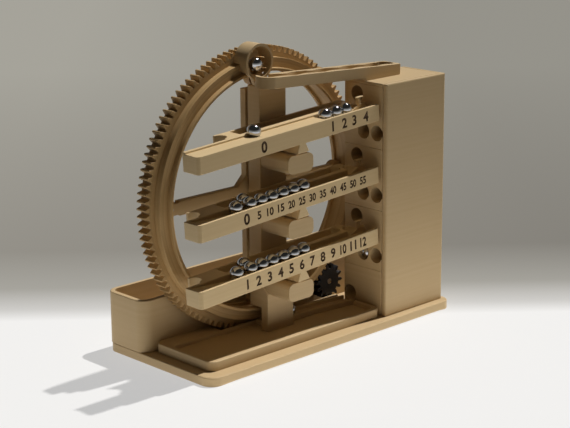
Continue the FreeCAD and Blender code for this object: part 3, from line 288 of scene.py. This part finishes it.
def tan_plastic(name, light, dark, on_wheel=False, tilt=0.0):
    """Printed plastic between two tones, its layers level, tilted, or along the wheel's axis."""
    material, tree, shader = new_material(name, Specular_IOR_Level=0.3, Sheen_Weight=0.02,
                                          Sheen_Roughness=0.5)
    seen = add_node(tree, "ShaderNodeTexCoord").outputs
    moved = add_node(tree, "ShaderNodeMapping", {
        "Vector": seen["Object"], "Location": -(WHEEL_CENTRE if on_wheel else Vector()),
        "Rotation": (0.0, tilt, 0.0)}).outputs[0]
    place = add_node(tree, "ShaderNodeSeparateXYZ", {0: moved}).outputs
    facing = add_node(tree, "ShaderNodeSeparateXYZ", {0: seen["Normal"]}).outputs
    if on_wheel:
        stack = "Y"
        squares = [math_node(tree, "MULTIPLY", place[axis], place[axis]) for axis in "XZ"]
        across = math_node(tree, "SQRT", math_node(tree, "ADD", *squares))
    else:
        stack = "Z"
        across = math_node(tree, "ADD", place["X"], place["Y"])
    layers = add_node(tree, "ShaderNodeGroup", {
        "Along": place[stack], "Across": across, "Spot": seen["Object"],
        "Facing": math_node(tree, "ABSOLUTE", facing[stack]),
        "Layer Height": LAYER_HEIGHT, "Path Width": PATH_WIDTH}, node_tree=printed_layers).outputs
    share = in_range(tree, layers["Tone"], *TONE_RANGE)
    wire(tree, shader,
         Base_Color=blend_colours(tree, share, dark, light),
         Roughness=in_range(tree, layers["Gloss"], 0.0, 1.0, *PRINT_ROUGHNESS),
         Normal=raised(tree, layers["Height"], PRINT_BUMP, PRINT_RELIEF))
    return material


tan = tan_plastic("tan_plastic", TAN_LIGHT, TAN_DARK)
wheel_tan = tan_plastic("wheel_tan_plastic", WHEEL_LIGHT, WHEEL_DARK, on_wheel=True)
# The rails get the brighter tones, which are painted light.
rail_tan_painted_bright = tan_plastic("rail_tan_plastic_painted_bright", RAIL_PAINTED_BRIGHT_LIGHT, RAIL_PAINTED_BRIGHT_DARK, tilt=REST_TILT)
print("three tan plastics")

# %% [markdown]
# ## White sheet
# The clock stands on a white sheet that turns to grey a little way behind it. The grey is painted
# shade, for the floor and wall back there lying in shade. One wide floor plays both: a ramp colours
# it by how far a point lies beyond a line on the floor, and it darkens a little towards one side,
# which is painted shade too. The eye and mirrors see this colour, part of it as a glow of its own,
# which is painted light that lightens the shadows, and part as a lit surface, so that shadows still
# fall on it. The clock itself is lit from below by the sheet close around it, and hardly by the
# rest: so its lower parts are the lighter ones, and its inside stays dark.

# %% White sheet
FLOOR_SIZE = 6.0
FOLD_START = Vector((-0.122, 0.160))
FOLD_END = Vector((0.175, -0.106))
# Past the line the grey tones are painted shade, for the floor and wall behind lying in shade.
SHEET_TONES_AND_PAINTED_SHADE = (
    (-0.015, (242, 242, 242)), (0.010, (207, 206, 204)), (0.060, (167, 165, 159)),
    (0.160, (149, 146, 139)), (0.960, (166, 164, 156)))
SIDE_RANGE = (-0.26, 0.24)
SIDE_PAINTED_SHADE = 0.21
SIDE_FADE = (0.03, 0.16)
FLOOR_GLOW = 0.585
FLOOR_SHARE = 0.40
BOUNCE_RANGE = (0.15, 0.38)
BOUNCE_STRENGTH = (1.5, 0.1)
BOUNCE_TINT = (1.0, 0.97, 0.89)


def floor_place(tree, seen, direction, origin):
    """How far a point of the floor lies from an origin in a level direction, in metres."""
    far = add_node(tree, "ShaderNodeVectorMath", {0: seen, 1: direction},
                   operation="DOT_PRODUCT").outputs[1]
    return math_node(tree, "SUBTRACT", far, direction.to_2d().dot(origin))


def sheet_colours(tree):
    """The colour of the sheet to the eye, and the colour with which it lights the clock."""
    seen = object_spot(tree)
    along = (FOLD_END - FOLD_START).normalized()
    beyond = floor_place(tree, seen, Vector((-along.y, along.x, 0.0)), FOLD_START)
    aside = floor_place(tree, seen, along.to_3d(), Vector((0.0, 0.0)))
    low, high = SHEET_TONES_AND_PAINTED_SHADE[0][0], SHEET_TONES_AND_PAINTED_SHADE[-1][0]
    ramp = add_node(tree, "ShaderNodeValToRGB", {"Fac": in_range(tree, beyond, low, high)})
    stops = ramp.color_ramp.elements
    for place, _ in SHEET_TONES_AND_PAINTED_SHADE[1:-1]:
        stops.new((place - low) / (high - low))
    for stop, (place, tone) in zip(stops, SHEET_TONES_AND_PAINTED_SHADE):
        stop.position = (place - low) / (high - low)
        stop.color = linear(*tone)
    # Painted shade: past the line the sheet darkens towards one side.
    side = in_range(tree, aside, *SIDE_RANGE, 0.0, SIDE_PAINTED_SHADE)
    past = in_range(tree, beyond, *SIDE_FADE)
    shade = math_node(tree, "SUBTRACT", 1.0, math_node(tree, "MULTIPLY", side, past))
    far = add_node(tree, "ShaderNodeVectorMath", {0: seen}, operation="LENGTH").outputs[1]
    bounce = in_range(tree, far, *BOUNCE_RANGE, *BOUNCE_STRENGTH, interpolation_type="SMOOTHSTEP")
    return scaled(tree, ramp.outputs["Color"], shade), scaled(tree, BOUNCE_TINT, bounce)


def eye_rays(tree):
    """One for a ray from the eye, straight or off a mirror, and zero for light on its way."""
    path = add_node(tree, "ShaderNodeLightPath").outputs
    mirrored = math_node(tree, "MAXIMUM", path["Is Glossy Ray"], path["Is Transmission Ray"])
    return math_node(tree, "MAXIMUM", path["Is Camera Ray"], mirrored)


def floor_material():
    """The sheet: part of its colour glows, and part is lit, so that shadows show."""
    material = bpy.data.materials.new("floor_sheet")
    material.use_nodes = True
    tree = material.node_tree
    tree.nodes.clear()
    colour, bounce = sheet_colours(tree)
    tone = blend_colours(tree, eye_rays(tree), bounce, colour)
    glow = add_node(tree, "ShaderNodeEmission", {"Color": tone, "Strength": FLOOR_GLOW})
    lit = add_node(tree, "ShaderNodeBsdfDiffuse", {"Color": scaled(tree, tone, FLOOR_SHARE)})
    shown = add_node(tree, "ShaderNodeAddShader", {0: glow.outputs[0], 1: lit.outputs[0]})
    add_node(tree, "ShaderNodeOutputMaterial", {"Surface": shown.outputs[0]})
    return material


def mesh_from(bm, name):
    """A mesh with the contents of a bmesh, which is then freed."""
    mesh = bpy.data.meshes.new(name)
    bm.to_mesh(mesh)
    bm.free()
    return mesh


sheet_bm = bmesh.new()
bmesh.ops.create_grid(sheet_bm, x_segments=1, y_segments=1, size=FLOOR_SIZE / 2)
floor = bpy.data.objects.new("floor", mesh_from(sheet_bm, "floor"))
bpy.context.scene.collection.objects.link(floor)
floor.data.materials.append(floor_material())
print("floor", FLOOR_SIZE, "m wide, with", len(SHEET_TONES_AND_PAINTED_SHADE), "tones")

# %% [markdown]
# ## World and sun
# A small sun from the right draws the shadows. The world gives so little light that they stay
# deep. To the eye and to mirrors it looks grey beyond the sheet and darkens upwards, as a dim
# ceiling does in the polished balls.

# %% World and sun
WORLD_LIGHT = 0.03
WORLD_COLOUR = linear(255, 236, 208)
CEILING_RISE = (0.08, 0.4)
CEILING_TONE = 0.07
SUN_TRAVEL = Vector((-0.565, 0.055, -1.0))
SUN_ENERGY = 3.6
SUN_WIDTH = math.radians(1.2)
SUN_COLOUR = linear(255, 253, 249)


def studio_world():
    """A world of one colour for the light, and of another for the eye."""
    world = bpy.data.worlds.new("studio")
    world.use_nodes = True
    tree = world.node_tree
    light = tree.nodes["Background"]
    light.inputs["Color"].default_value = WORLD_COLOUR
    light.inputs["Strength"].default_value = WORLD_LIGHT
    around = add_node(tree, "ShaderNodeTexCoord").outputs["Generated"]
    rise = add_node(tree, "ShaderNodeSeparateXYZ", {0: around}).outputs["Z"]
    # Beyond the sheet the eye sees its far grey, the painted shade of the backdrop.
    seen = add_node(tree, "ShaderNodeBackground", {
        "Color": linear(*SHEET_TONES_AND_PAINTED_SHADE[-1][1]),
        "Strength": in_range(tree, rise, *CEILING_RISE, 1.0, CEILING_TONE)})
    both = add_node(tree, "ShaderNodeMixShader", {
        0: eye_rays(tree), 1: light.outputs[0], 2: seen.outputs[0]})
    wire(tree, tree.nodes["World Output"], Surface=both.outputs[0])
    return world


bpy.context.scene.world = studio_world()

sun = bpy.data.objects.new("sun", bpy.data.lights.new("sun", "SUN"))
sun.data.energy = SUN_ENERGY
sun.data.angle = SUN_WIDTH
sun.data.color = SUN_COLOUR[:3]
sun.rotation_mode = "QUATERNION"
sun.rotation_quaternion = SUN_TRAVEL.to_track_quat("-Z", "Y")
bpy.context.scene.collection.objects.link(sun)
print("sun", round(math.degrees(math.asin(-SUN_TRAVEL.normalized().z))), "degrees high")

# %% [markdown]
# ## Softening the printed parts
# No printed edge is a knife edge: the bead of plastic rounds it by about half a millimetre, and
# that is where the light catches. Each printed node is copied, its loose triangles are merged and
# its flat areas dissolved, and then only the sharp edges are bevelled. The copy takes the place
# of the node. The cover of the tower, the tray, the base and the box are rounded more than the
# rest, so their edges shine as thin lines.

# %% Softened pieces
MERGE_GAP = 0.000002
FLAT_ANGLE = math.radians(0.6)
SHARP_ANGLE = math.radians(32)
EDGE_WIDTH = 0.0005
ROUNDER_WIDTH = 0.0012
FLAT_WEIGHT = 100
FRAME_PRINTS = ("base_plate", "plinth_tray", "tower_foot", "hour_module", "five_minute_module",
                "minute_module", "tower_cap", "tower_cover", "support_post", "hour_arm",
                "five_minute_arm", "minute_arm", "wheel_spider", "top_ramp", "ball_hoop",
                "return_chute", "rear_box")
ROUNDER_PRINTS = ("tower_cover", "plinth_tray", "base_plate", "rear_box")


def piece(name, mesh, body, material):
    """Link a mesh as a piece of the clock, smooth between its sharp edges, and let it ride.

    The modifier lets the large flat faces rule the shading, so only the narrow rounded ones
    blend. A mesh that has its materials already is given None.
    """
    shown = bpy.data.objects.new(name, mesh)
    bpy.context.scene.collection.objects.link(shown)
    if material:
        mesh.materials.append(material)
    mesh.shade_smooth()
    mesh.set_sharp_from_angle(angle=SHARP_ANGLE)
    shade = shown.modifiers.new("even_shade", "WEIGHTED_NORMAL")
    shade.weight = FLAT_WEIGHT
    shade.keep_sharp = True
    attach(shown, body)
    return shown


def body_of(node):
    """The name of the body that a node rides on."""
    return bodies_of(nodes[node])[0]


def merged_copy(node):
    """The CAD mesh of a node with its doubles merged and its flat areas as single faces."""
    bm = bmesh.new()
    bm.from_mesh(nodes[node].data)
    bmesh.ops.transform(bm, matrix=nodes[node].matrix_world, verts=bm.verts)
    bmesh.ops.remove_doubles(bm, verts=bm.verts, dist=MERGE_GAP)
    bmesh.ops.dissolve_limit(bm, angle_limit=FLAT_ANGLE, verts=bm.verts, edges=bm.edges)
    return bm


def softened_mesh(node, width=EDGE_WIDTH, seam=None):
    """A copy with its outer edges rounded, but for those on the seam with a neighbour."""
    bm = merged_copy(node)
    outer = [edge for edge in bm.edges
             if edge.is_manifold and edge.calc_face_angle_signed(0.0) > SHARP_ANGLE
             and edge.calc_length() > 2 * width and not (seam and seam(edge))]
    bmesh.ops.bevel(bm, geom=outer, offset=width, segments=2, profile=0.5, affect="EDGES",
                    clamp_overlap=False, material=-1)
    bmesh.ops.remove_doubles(bm, verts=bm.verts, dist=MERGE_GAP)
    return mesh_from(bm, node + "_soft")


def soften(node, material, width=EDGE_WIDTH, seam=None):
    """Put a softened copy in the place of a node."""
    mesh = softened_mesh(node, width, seam)
    shown = piece(node + "_soft", mesh, body_of(node), material)
    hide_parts(node)
    return shown


for node in FRAME_PRINTS:
    width = ROUNDER_WIDTH if node in ROUNDER_PRINTS else EDGE_WIDTH
    print(node, len(soften(node, tan, width=width).data.polygons), "faces")

# %% [markdown]
# ## Wheel and rollers
# The lip of the wheel lies flat on its drum, and on the real print they are one piece. The edges
# where the two meet stay sharp, so that no groove shows between them. The teeth are small, so
# their edges are rounded less. The rollers are printed in the same plastic and turn in the groove
# behind the teeth.

# %% Wheel and rollers
TOOTH_WIDTH = 0.0003
LIP_WIDTH = 0.0008
SEAM_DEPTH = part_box("wheel_lip")[1].y
SEAM_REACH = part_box("wheel_lip")[1].z - WHEEL_CENTRE.z
SEAM_SLACK = 2 * MERGE_GAP
ROLLERS = ("right_guide_roller", "top_guide_roller", "left_guide_roller", "bottom_guide_roller")


def on_lip_seam(edge):
    """True for an edge in the plane between lip and drum, no further out than the lip."""
    ends = [vert.co - WHEEL_CENTRE for vert in edge.verts]
    return all(abs(end.y + WHEEL_CENTRE.y - SEAM_DEPTH) < SEAM_SLACK
               and math.hypot(end.x, end.z) < SEAM_REACH + SEAM_SLACK for end in ends)


for node, width in (("lift_wheel", TOOTH_WIDTH), ("wheel_lip", LIP_WIDTH)):
    wheel_part = soften(node, wheel_tan, width=width, seam=on_lip_seam)
    print(node, len(wheel_part.data.polygons), "faces")
for node in ROLLERS:
    soften(node, wheel_tan, width=TOOTH_WIDTH)
print(len(ROLLERS), "rollers")

# %% [markdown]
# ## Number solids
# Each rail counts on its front: minutes from 0 to 4, five minutes from 0 to 55, and hours from 1
# to 12. Plain text is turned into a solid for each number, a little bolder than the font draws
# it. The font gives its own size, so each solid is scaled to the height of its number. It reaches
# a little out of the rail, because a cut whose face lies in the front would be ragged.

# %% Number solids
NUMBER_DEPTH = 0.0009
NUMBER_OVERRUN = 0.0005
NUMBER_BOLD = 0.034
NUMBER_WIDEST = 0.0060
TEXT_THICKNESS = 0.1
TEXT_GAP = 0.0001
NUMBER_RISE = 0.0087
ZERO_HEIGHT, MINUTE_HEIGHT, FIVE_HEIGHT, HOUR_HEIGHT = 0.0078, 0.0070, 0.0055, 0.0069
MINUTE_PLACES = (0.0280, 0.0390, 0.0484, 0.0596)
FIVE_START, FIVE_PITCH = -0.0393, 0.00963
HOUR_START, HOUR_PITCH = -0.0502, 0.0098
RAIL_NUMBERS = {
    "minute": [("0", -0.0343, ZERO_HEIGHT)] + [
        (str(1 + i), place, MINUTE_HEIGHT) for i, place in enumerate(MINUTE_PLACES)],
    "five_minute": [("0", -0.0502, ZERO_HEIGHT)] + [
        (str(5 + 5 * i), FIVE_START + FIVE_PITCH * i, FIVE_HEIGHT) for i in range(11)],
    "hour": [(str(1 + i), HOUR_START + HOUR_PITCH * i, HOUR_HEIGHT) for i in range(12)],
}


def number_solid(word, height):
    """One number as a solid, centred, of the given height, drawn in if it is too wide."""
    curve = bpy.data.curves.new("number_" + word, "FONT")
    curve.body = word
    curve.extrude = TEXT_THICKNESS
    curve.offset = NUMBER_BOLD
    curve.resolution_u = 4
    bm = bmesh.new()
    bm.from_mesh(bpy.data.meshes.new_from_object(bpy.data.objects.new("number_" + word, curve)))
    bmesh.ops.remove_doubles(bm, verts=bm.verts, dist=TEXT_GAP)
    lows = [min(vert.co[i] for vert in bm.verts) for i in range(3)]
    highs = [max(vert.co[i] for vert in bm.verts) for i in range(3)]
    middle = Vector([(low + high) / 2 for low, high in zip(lows, highs)])
    grow = height / (highs[1] - lows[1])
    wide = min(grow, NUMBER_WIDEST / (highs[0] - lows[0]))
    deep = (NUMBER_DEPTH + NUMBER_OVERRUN) / (highs[2] - lows[2])
    sized = Matrix.Diagonal((wide, grow, deep, 1.0)) @ Matrix.Translation(-middle)
    bmesh.ops.transform(bm, matrix=sized, verts=bm.verts)
    return bm


def number_block(rail, material):
    """All the numbers of a rail as one mesh, on the front of the rail at rest."""
    pivot = joint_place(rail + "_rail_tip")
    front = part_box(rail + "_rail")[0].y
    place = (Matrix.Translation((pivot.x, front + (NUMBER_DEPTH - NUMBER_OVERRUN) / 2, pivot.z))
             @ Matrix.Rotation(-REST_TILT, 4, "Y"))
    upright = Matrix.Rotation(math.pi / 2, 4, "X")
    block = bpy.data.meshes.new(rail + "_numbers")
    joined = bmesh.new()
    for word, along, height in RAIL_NUMBERS[rail]:
        bm = number_solid(word, height)
        spot = place @ Matrix.Translation((along, 0.0, NUMBER_RISE)) @ upright
        bmesh.ops.transform(bm, matrix=spot, verts=bm.verts)
        bm.to_mesh(block)
        joined.from_mesh(block)
        bm.free()
    bmesh.ops.recalc_face_normals(joined, faces=joined.faces)
    joined.to_mesh(block)
    joined.free()
    block.materials.append(material)
    return block


print({rail: len(numbers) for rail, numbers in RAIL_NUMBERS.items()}, "numbers")

# %% [markdown]
# ## Engraving
# The numbers are sunk into the plastic, so they are cut out of the rail rather than laid on it. A
# Boolean modifier cuts all the numbers of a rail at once. The cut walls take the material of
# their solids, a darker and rougher brown that is painted shade, because little light reaches a
# narrow groove.

# %% Engraving
RECESS_SCALE = 900.0
# Painted shade: the recess tones darken the groove walls where little light reaches.
RECESS_PAINTED_SHADE_DARK, RECESS_PAINTED_SHADE_LIGHT = linear(74, 56, 42), linear(110, 86, 64)
RECESS_ROUGHNESS = (0.55, 0.8)
GRAIN_RELIEF = 0.00003


def grained(name, scale, dark, light, roughness, bump=0.0, **plain):
    """A material that a fine grain varies between two tones, and raises if bump is given."""
    material, tree, shader = new_material(name, **plain)
    grain = noise(tree, object_spot(tree), scale, detail=3.0)
    wire(tree, shader,
         Base_Color=blend_colours(tree, grain, dark, light),
         Roughness=in_range(tree, grain, 0.0, 1.0, *roughness))
    if bump:
        wire(tree, shader, Normal=raised(tree, grain, bump, GRAIN_RELIEF))
    return material


def cut_away(mesh, tool_mesh):
    """The mesh after a Boolean modifier has cut the tool out of it."""
    body = bpy.data.objects.new("body", mesh)
    tool = bpy.data.objects.new("tool", tool_mesh)
    for thing in (body, tool):
        bpy.context.scene.collection.objects.link(thing)
    cut = body.modifiers.new("cut", "BOOLEAN")
    cut.object = tool
    cut.operation = "DIFFERENCE"
    cut.solver = "EXACT"
    cut.use_self = True
    cut.material_mode = "TRANSFER"
    graph = bpy.context.evaluated_depsgraph_get()
    result = bpy.data.meshes.new_from_object(body.evaluated_get(graph))
    for thing in (body, tool):
        bpy.data.objects.remove(thing)
    return result


# The groove walls carry painted shade.
recess_painted_shade = grained("engraved_recess_painted_shade", RECESS_SCALE, RECESS_PAINTED_SHADE_DARK, RECESS_PAINTED_SHADE_LIGHT, RECESS_ROUGHNESS,
                 Specular_IOR_Level=0.3)
for rail in RAIL_NUMBERS:
    node = rail + "_rail"
    rail_mesh = softened_mesh(node)
    rail_mesh.materials.append(rail_tan_painted_bright)
    engraved_mesh = cut_away(rail_mesh, number_block(rail, recess_painted_shade))
    engraved = piece(node + "_soft", engraved_mesh, body_of(node), None)
    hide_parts(node)
    print(node, len(engraved.data.polygons), "faces")

# %% [markdown]
# ## Steel
# The balls are bearing balls, ground and polished like mirrors, with only the finest scuffs. The
# pins, screws and the motor are plain bright steel, turned or drawn, so their gloss is broken by
# fine lines. One group makes the scuffs and lines, and each steel takes its own amount.

# %% Steel
SCUFF_SCALE = 700.0
SCUFF_STRETCH = (1.0, 0.15, 1.0)
SCUFF_RANGE = (0.3, 0.75)
SCUFF_RELIEF = 0.00002


def scuff_group():
    """Fine scuffs, drawn out along Y, as a height and as a roughness between two values."""
    tree, given, put = new_group("steel_scuffs", ("Scale", "Smooth", "Rough"),
                                 ("Roughness", "Height"))
    drawn = add_node(tree, "ShaderNodeMapping", {"Vector": given["Spot"], "Scale": SCUFF_STRETCH})
    fine = noise(tree, drawn.outputs[0], given["Scale"], detail=5.0, roughness=0.65)
    rough = in_range(tree, fine, *SCUFF_RANGE, given["Smooth"], given["Rough"])
    wire(tree, put, Roughness=rough, Height=fine)
    return tree


steel_scuffs = scuff_group()


def steel(name, colour, smooth, rough, bump=0.0):
    """Bare metal, its roughness between two values; bump raises its scuffs."""
    material, tree, shader = new_material(name, Metallic=1.0, Base_Color=colour)
    scuffs = add_node(tree, "ShaderNodeGroup", {
        "Spot": object_spot(tree), "Scale": SCUFF_SCALE, "Smooth": smooth, "Rough": rough,
    }, node_tree=steel_scuffs).outputs
    wire(tree, shader, Roughness=scuffs["Roughness"])
    if bump:
        wire(tree, shader, Normal=raised(tree, scuffs["Height"], bump, SCUFF_RELIEF))
    return material


mirror_steel = steel("mirror_steel", linear(188, 190, 195), smooth=0.06, rough=0.15)
bright_steel = steel("bright_steel", linear(196, 196, 198), smooth=0.2, rough=0.42, bump=0.25)
nickel = steel("nickel", linear(206, 203, 196), smooth=0.12, rough=0.25, bump=0.1)
print("three steels")

# %% [markdown]
# ## Balls
# A ball shows its whole surroundings in miniature, and any flat facet would break that picture. So
# each ball gets a finer sphere of its own, in the middle of the one that the model holds. A node
# may hold several balls: they are told apart by walking from corner to corner until no new
# neighbour is left.

# %% Balls
BALL_SEGMENTS, BALL_RINGS = 48, 24
BALL_NODES = ("hour_balls", "hour_fixed_ball", "hour_weight_ball", "five_minute_balls",
              "five_minute_fixed_ball", "five_minute_weight_ball", "minute_balls",
              "minute_fixed_ball", "minute_weight_ball", "return_balls", "tower_ball",
              "lifted_ball")


def islands(bm):
    """The corner points of each loose part of a mesh."""
    met, found = set(), []
    for first in bm.verts:
        if first in met:
            continue
        met.add(first)
        waiting, part = [first], []
        while waiting:
            vert = waiting.pop()
            part.append(vert.co.copy())
            for edge in vert.link_edges:
                other = edge.other_vert(vert)
                if other not in met:
                    met.add(other)
                    waiting.append(other)
        found.append(part)
    return found


def island_boxes(node):
    """The lowest and highest corner of each loose part of a node."""
    bm = merged_copy(node)
    boxes = [(Vector([min(point[i] for point in part) for i in range(3)]),
              Vector([max(point[i] for point in part) for i in range(3)]))
             for part in islands(bm)]
    bm.free()
    return boxes


for node in BALL_NODES:
    ball_boxes = island_boxes(node)
    ball_bm = bmesh.new()
    for low, high in ball_boxes:
        bmesh.ops.create_uvsphere(ball_bm, u_segments=BALL_SEGMENTS, v_segments=BALL_RINGS,
                                  radius=(high.z - low.z) / 2,
                                  matrix=Matrix.Translation((low + high) / 2))
    polished = piece(node + "_polished", mesh_from(ball_bm, node + "_polished"), body_of(node),
                     mirror_steel)
    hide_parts(node)
    print(node, len(ball_boxes), "balls")

# %% [markdown]
# ## Pins, screws, magnet and motor
# These small steel pieces keep the shapes of the model, with a finer rounding than the prints,
# because turned steel has crisp edges.

# %% Pins, screws, magnet and motor
CRISP_WIDTH = 0.00012
STEEL_PIECES = ("base_screws", "spider_screws", "roller_pins", "hour_pivot_pin",
                "five_minute_pivot_pin", "minute_pivot_pin", "motor_shaft", "gear_motor")
for node in STEEL_PIECES:
    soften(node, bright_steel, CRISP_WIDTH)
soften("pocket_magnet", nickel, CRISP_WIDTH)
print(len(STEEL_PIECES) + 1, "steel pieces")

# %% [markdown]
# ## Black plastic
# The pinion, the spacers, the socket and the chips are moulded in black, with the fine grain that
# a mould leaves. The same recipe as for the engraved numbers gives it, with other tones and with
# the grain raised.

# %% Black plastic
BLACK_SCALE = 3200.0
BLACK_DARK, BLACK_LIGHT = linear(28, 28, 30), linear(46, 45, 46)
BLACK_ROUGHNESS = (0.36, 0.6)
PINION_WIDTH = 0.0002
BLACK_PIECES = {"drive_pinion": PINION_WIDTH, "board_spacers": CRISP_WIDTH,
                "power_socket": CRISP_WIDTH, "board_chips": CRISP_WIDTH}

black = grained("black_moulded", BLACK_SCALE, BLACK_DARK, BLACK_LIGHT, BLACK_ROUGHNESS, bump=0.3,
                Specular_IOR_Level=0.5)
for node, width in BLACK_PIECES.items():
    soften(node, black, width)
print(len(BLACK_PIECES), "black pieces")

# %% [markdown]
# ## Controller board
# The board is green lacquer over copper: the tracks stand out a little and look paler, and round
# tinned pads shine through. Tracks are rings in a coarse pattern of uneven cells, and pads are the
# middles of finer, even cells.

# %% Controller board
TRACK_CELLS, TRACK_UNEVEN = 260.0, 0.55
TRACK_RINGS, TRACK_EDGE = 26.0, 0.72
TRACK_BUMP, TRACK_RELIEF = 0.4, 0.00004
PAD_CELLS, PAD_RADIUS = 390.0, 0.2
LACQUER_GREEN, TRACK_GREEN = linear(14, 70, 40), linear(34, 104, 58)
PAD_TIN = linear(196, 188, 160)
LACQUER_ROUGHNESS, PAD_SHINE = 0.38, -0.1


def cell_distance(tree, scale, uneven, measure):
    """How far a place lies from the middle of its cell, as a share of the cell."""
    return add_node(tree, "ShaderNodeTexVoronoi", {
        "Vector": object_spot(tree), "Scale": scale, "Randomness": uneven,
    }, distance=measure, feature="F1").outputs["Distance"]


def board_lacquer():
    """Green lacquer with raised tracks and bare pads."""
    material, tree, shader = new_material("board_lacquer", Specular_IOR_Level=0.6)
    turns = math_node(tree, "MULTIPLY", cell_distance(tree, TRACK_CELLS, TRACK_UNEVEN, "MANHATTAN"),
                      TRACK_RINGS)
    track = math_node(tree, "GREATER_THAN", math_node(tree, "SINE", turns), TRACK_EDGE)
    pad = math_node(tree, "LESS_THAN", cell_distance(tree, PAD_CELLS, 0.0, "EUCLIDEAN"), PAD_RADIUS)
    lacquer = blend_colours(tree, track, LACQUER_GREEN, TRACK_GREEN)
    wire(tree, shader,
         Base_Color=blend_colours(tree, pad, lacquer, PAD_TIN),
         Roughness=math_node(tree, "MULTIPLY_ADD", pad, PAD_SHINE, LACQUER_ROUGHNESS),
         Metallic=pad,
         Normal=raised(tree, track, TRACK_BUMP, TRACK_RELIEF))
    return material


board = soften("controller_board", board_lacquer(), CRISP_WIDTH)
print("board", len(board.data.polygons), "faces")

# %% [markdown]
# ## Chip legs
# Each chip stands on two rows of bent tin legs, along its two long sides. One leg is a thin strip
# that goes out of the side and down to the board, so it is two small blocks, repeated along the
# chip.

# %% Chip legs
LEG_PITCH = 0.00127
LEG_WIDTH = 0.00045
LEG_THICK = 0.0002
LEG_REACH = 0.0008
LEG_SHOULDER = 0.45

chip_boxes = island_boxes("board_chips")
legs_bm = bmesh.new()


def leg_block(low, high):
    """A small block between two corners."""
    size = Vector([end - start for start, end in zip(low, high)])
    matrix = Matrix.Translation((Vector(low) + Vector(high)) / 2) @ Matrix.Diagonal((*size, 1.0))
    bmesh.ops.create_cube(legs_bm, size=1.0, matrix=matrix)


for low, high in chip_boxes:
    count = int((high.x - low.x) / LEG_PITCH) - 1
    start = (low.x + high.x - (count - 1) * LEG_PITCH) / 2
    shoulder = low.z + (high.z - low.z) * LEG_SHOULDER
    for i in range(count):
        left = start + i * LEG_PITCH - LEG_WIDTH / 2
        right = start + i * LEG_PITCH + LEG_WIDTH / 2
        for side, way in ((low.y, -1), (high.y, 1)):
            reach = sorted((side, side + way * LEG_REACH))
            drop = sorted((side + way * (LEG_REACH - LEG_THICK), side + way * LEG_REACH))
            leg_block((left, reach[0], shoulder - LEG_THICK), (right, reach[1], shoulder))
            leg_block((left, drop[0], low.z), (right, drop[1], shoulder - LEG_THICK))
legs = piece("chip_legs", mesh_from(legs_bm, "chip_legs"), "frame", bright_steel)
print(len(chip_boxes), "chips with legs,", len(legs.data.polygons), "faces")
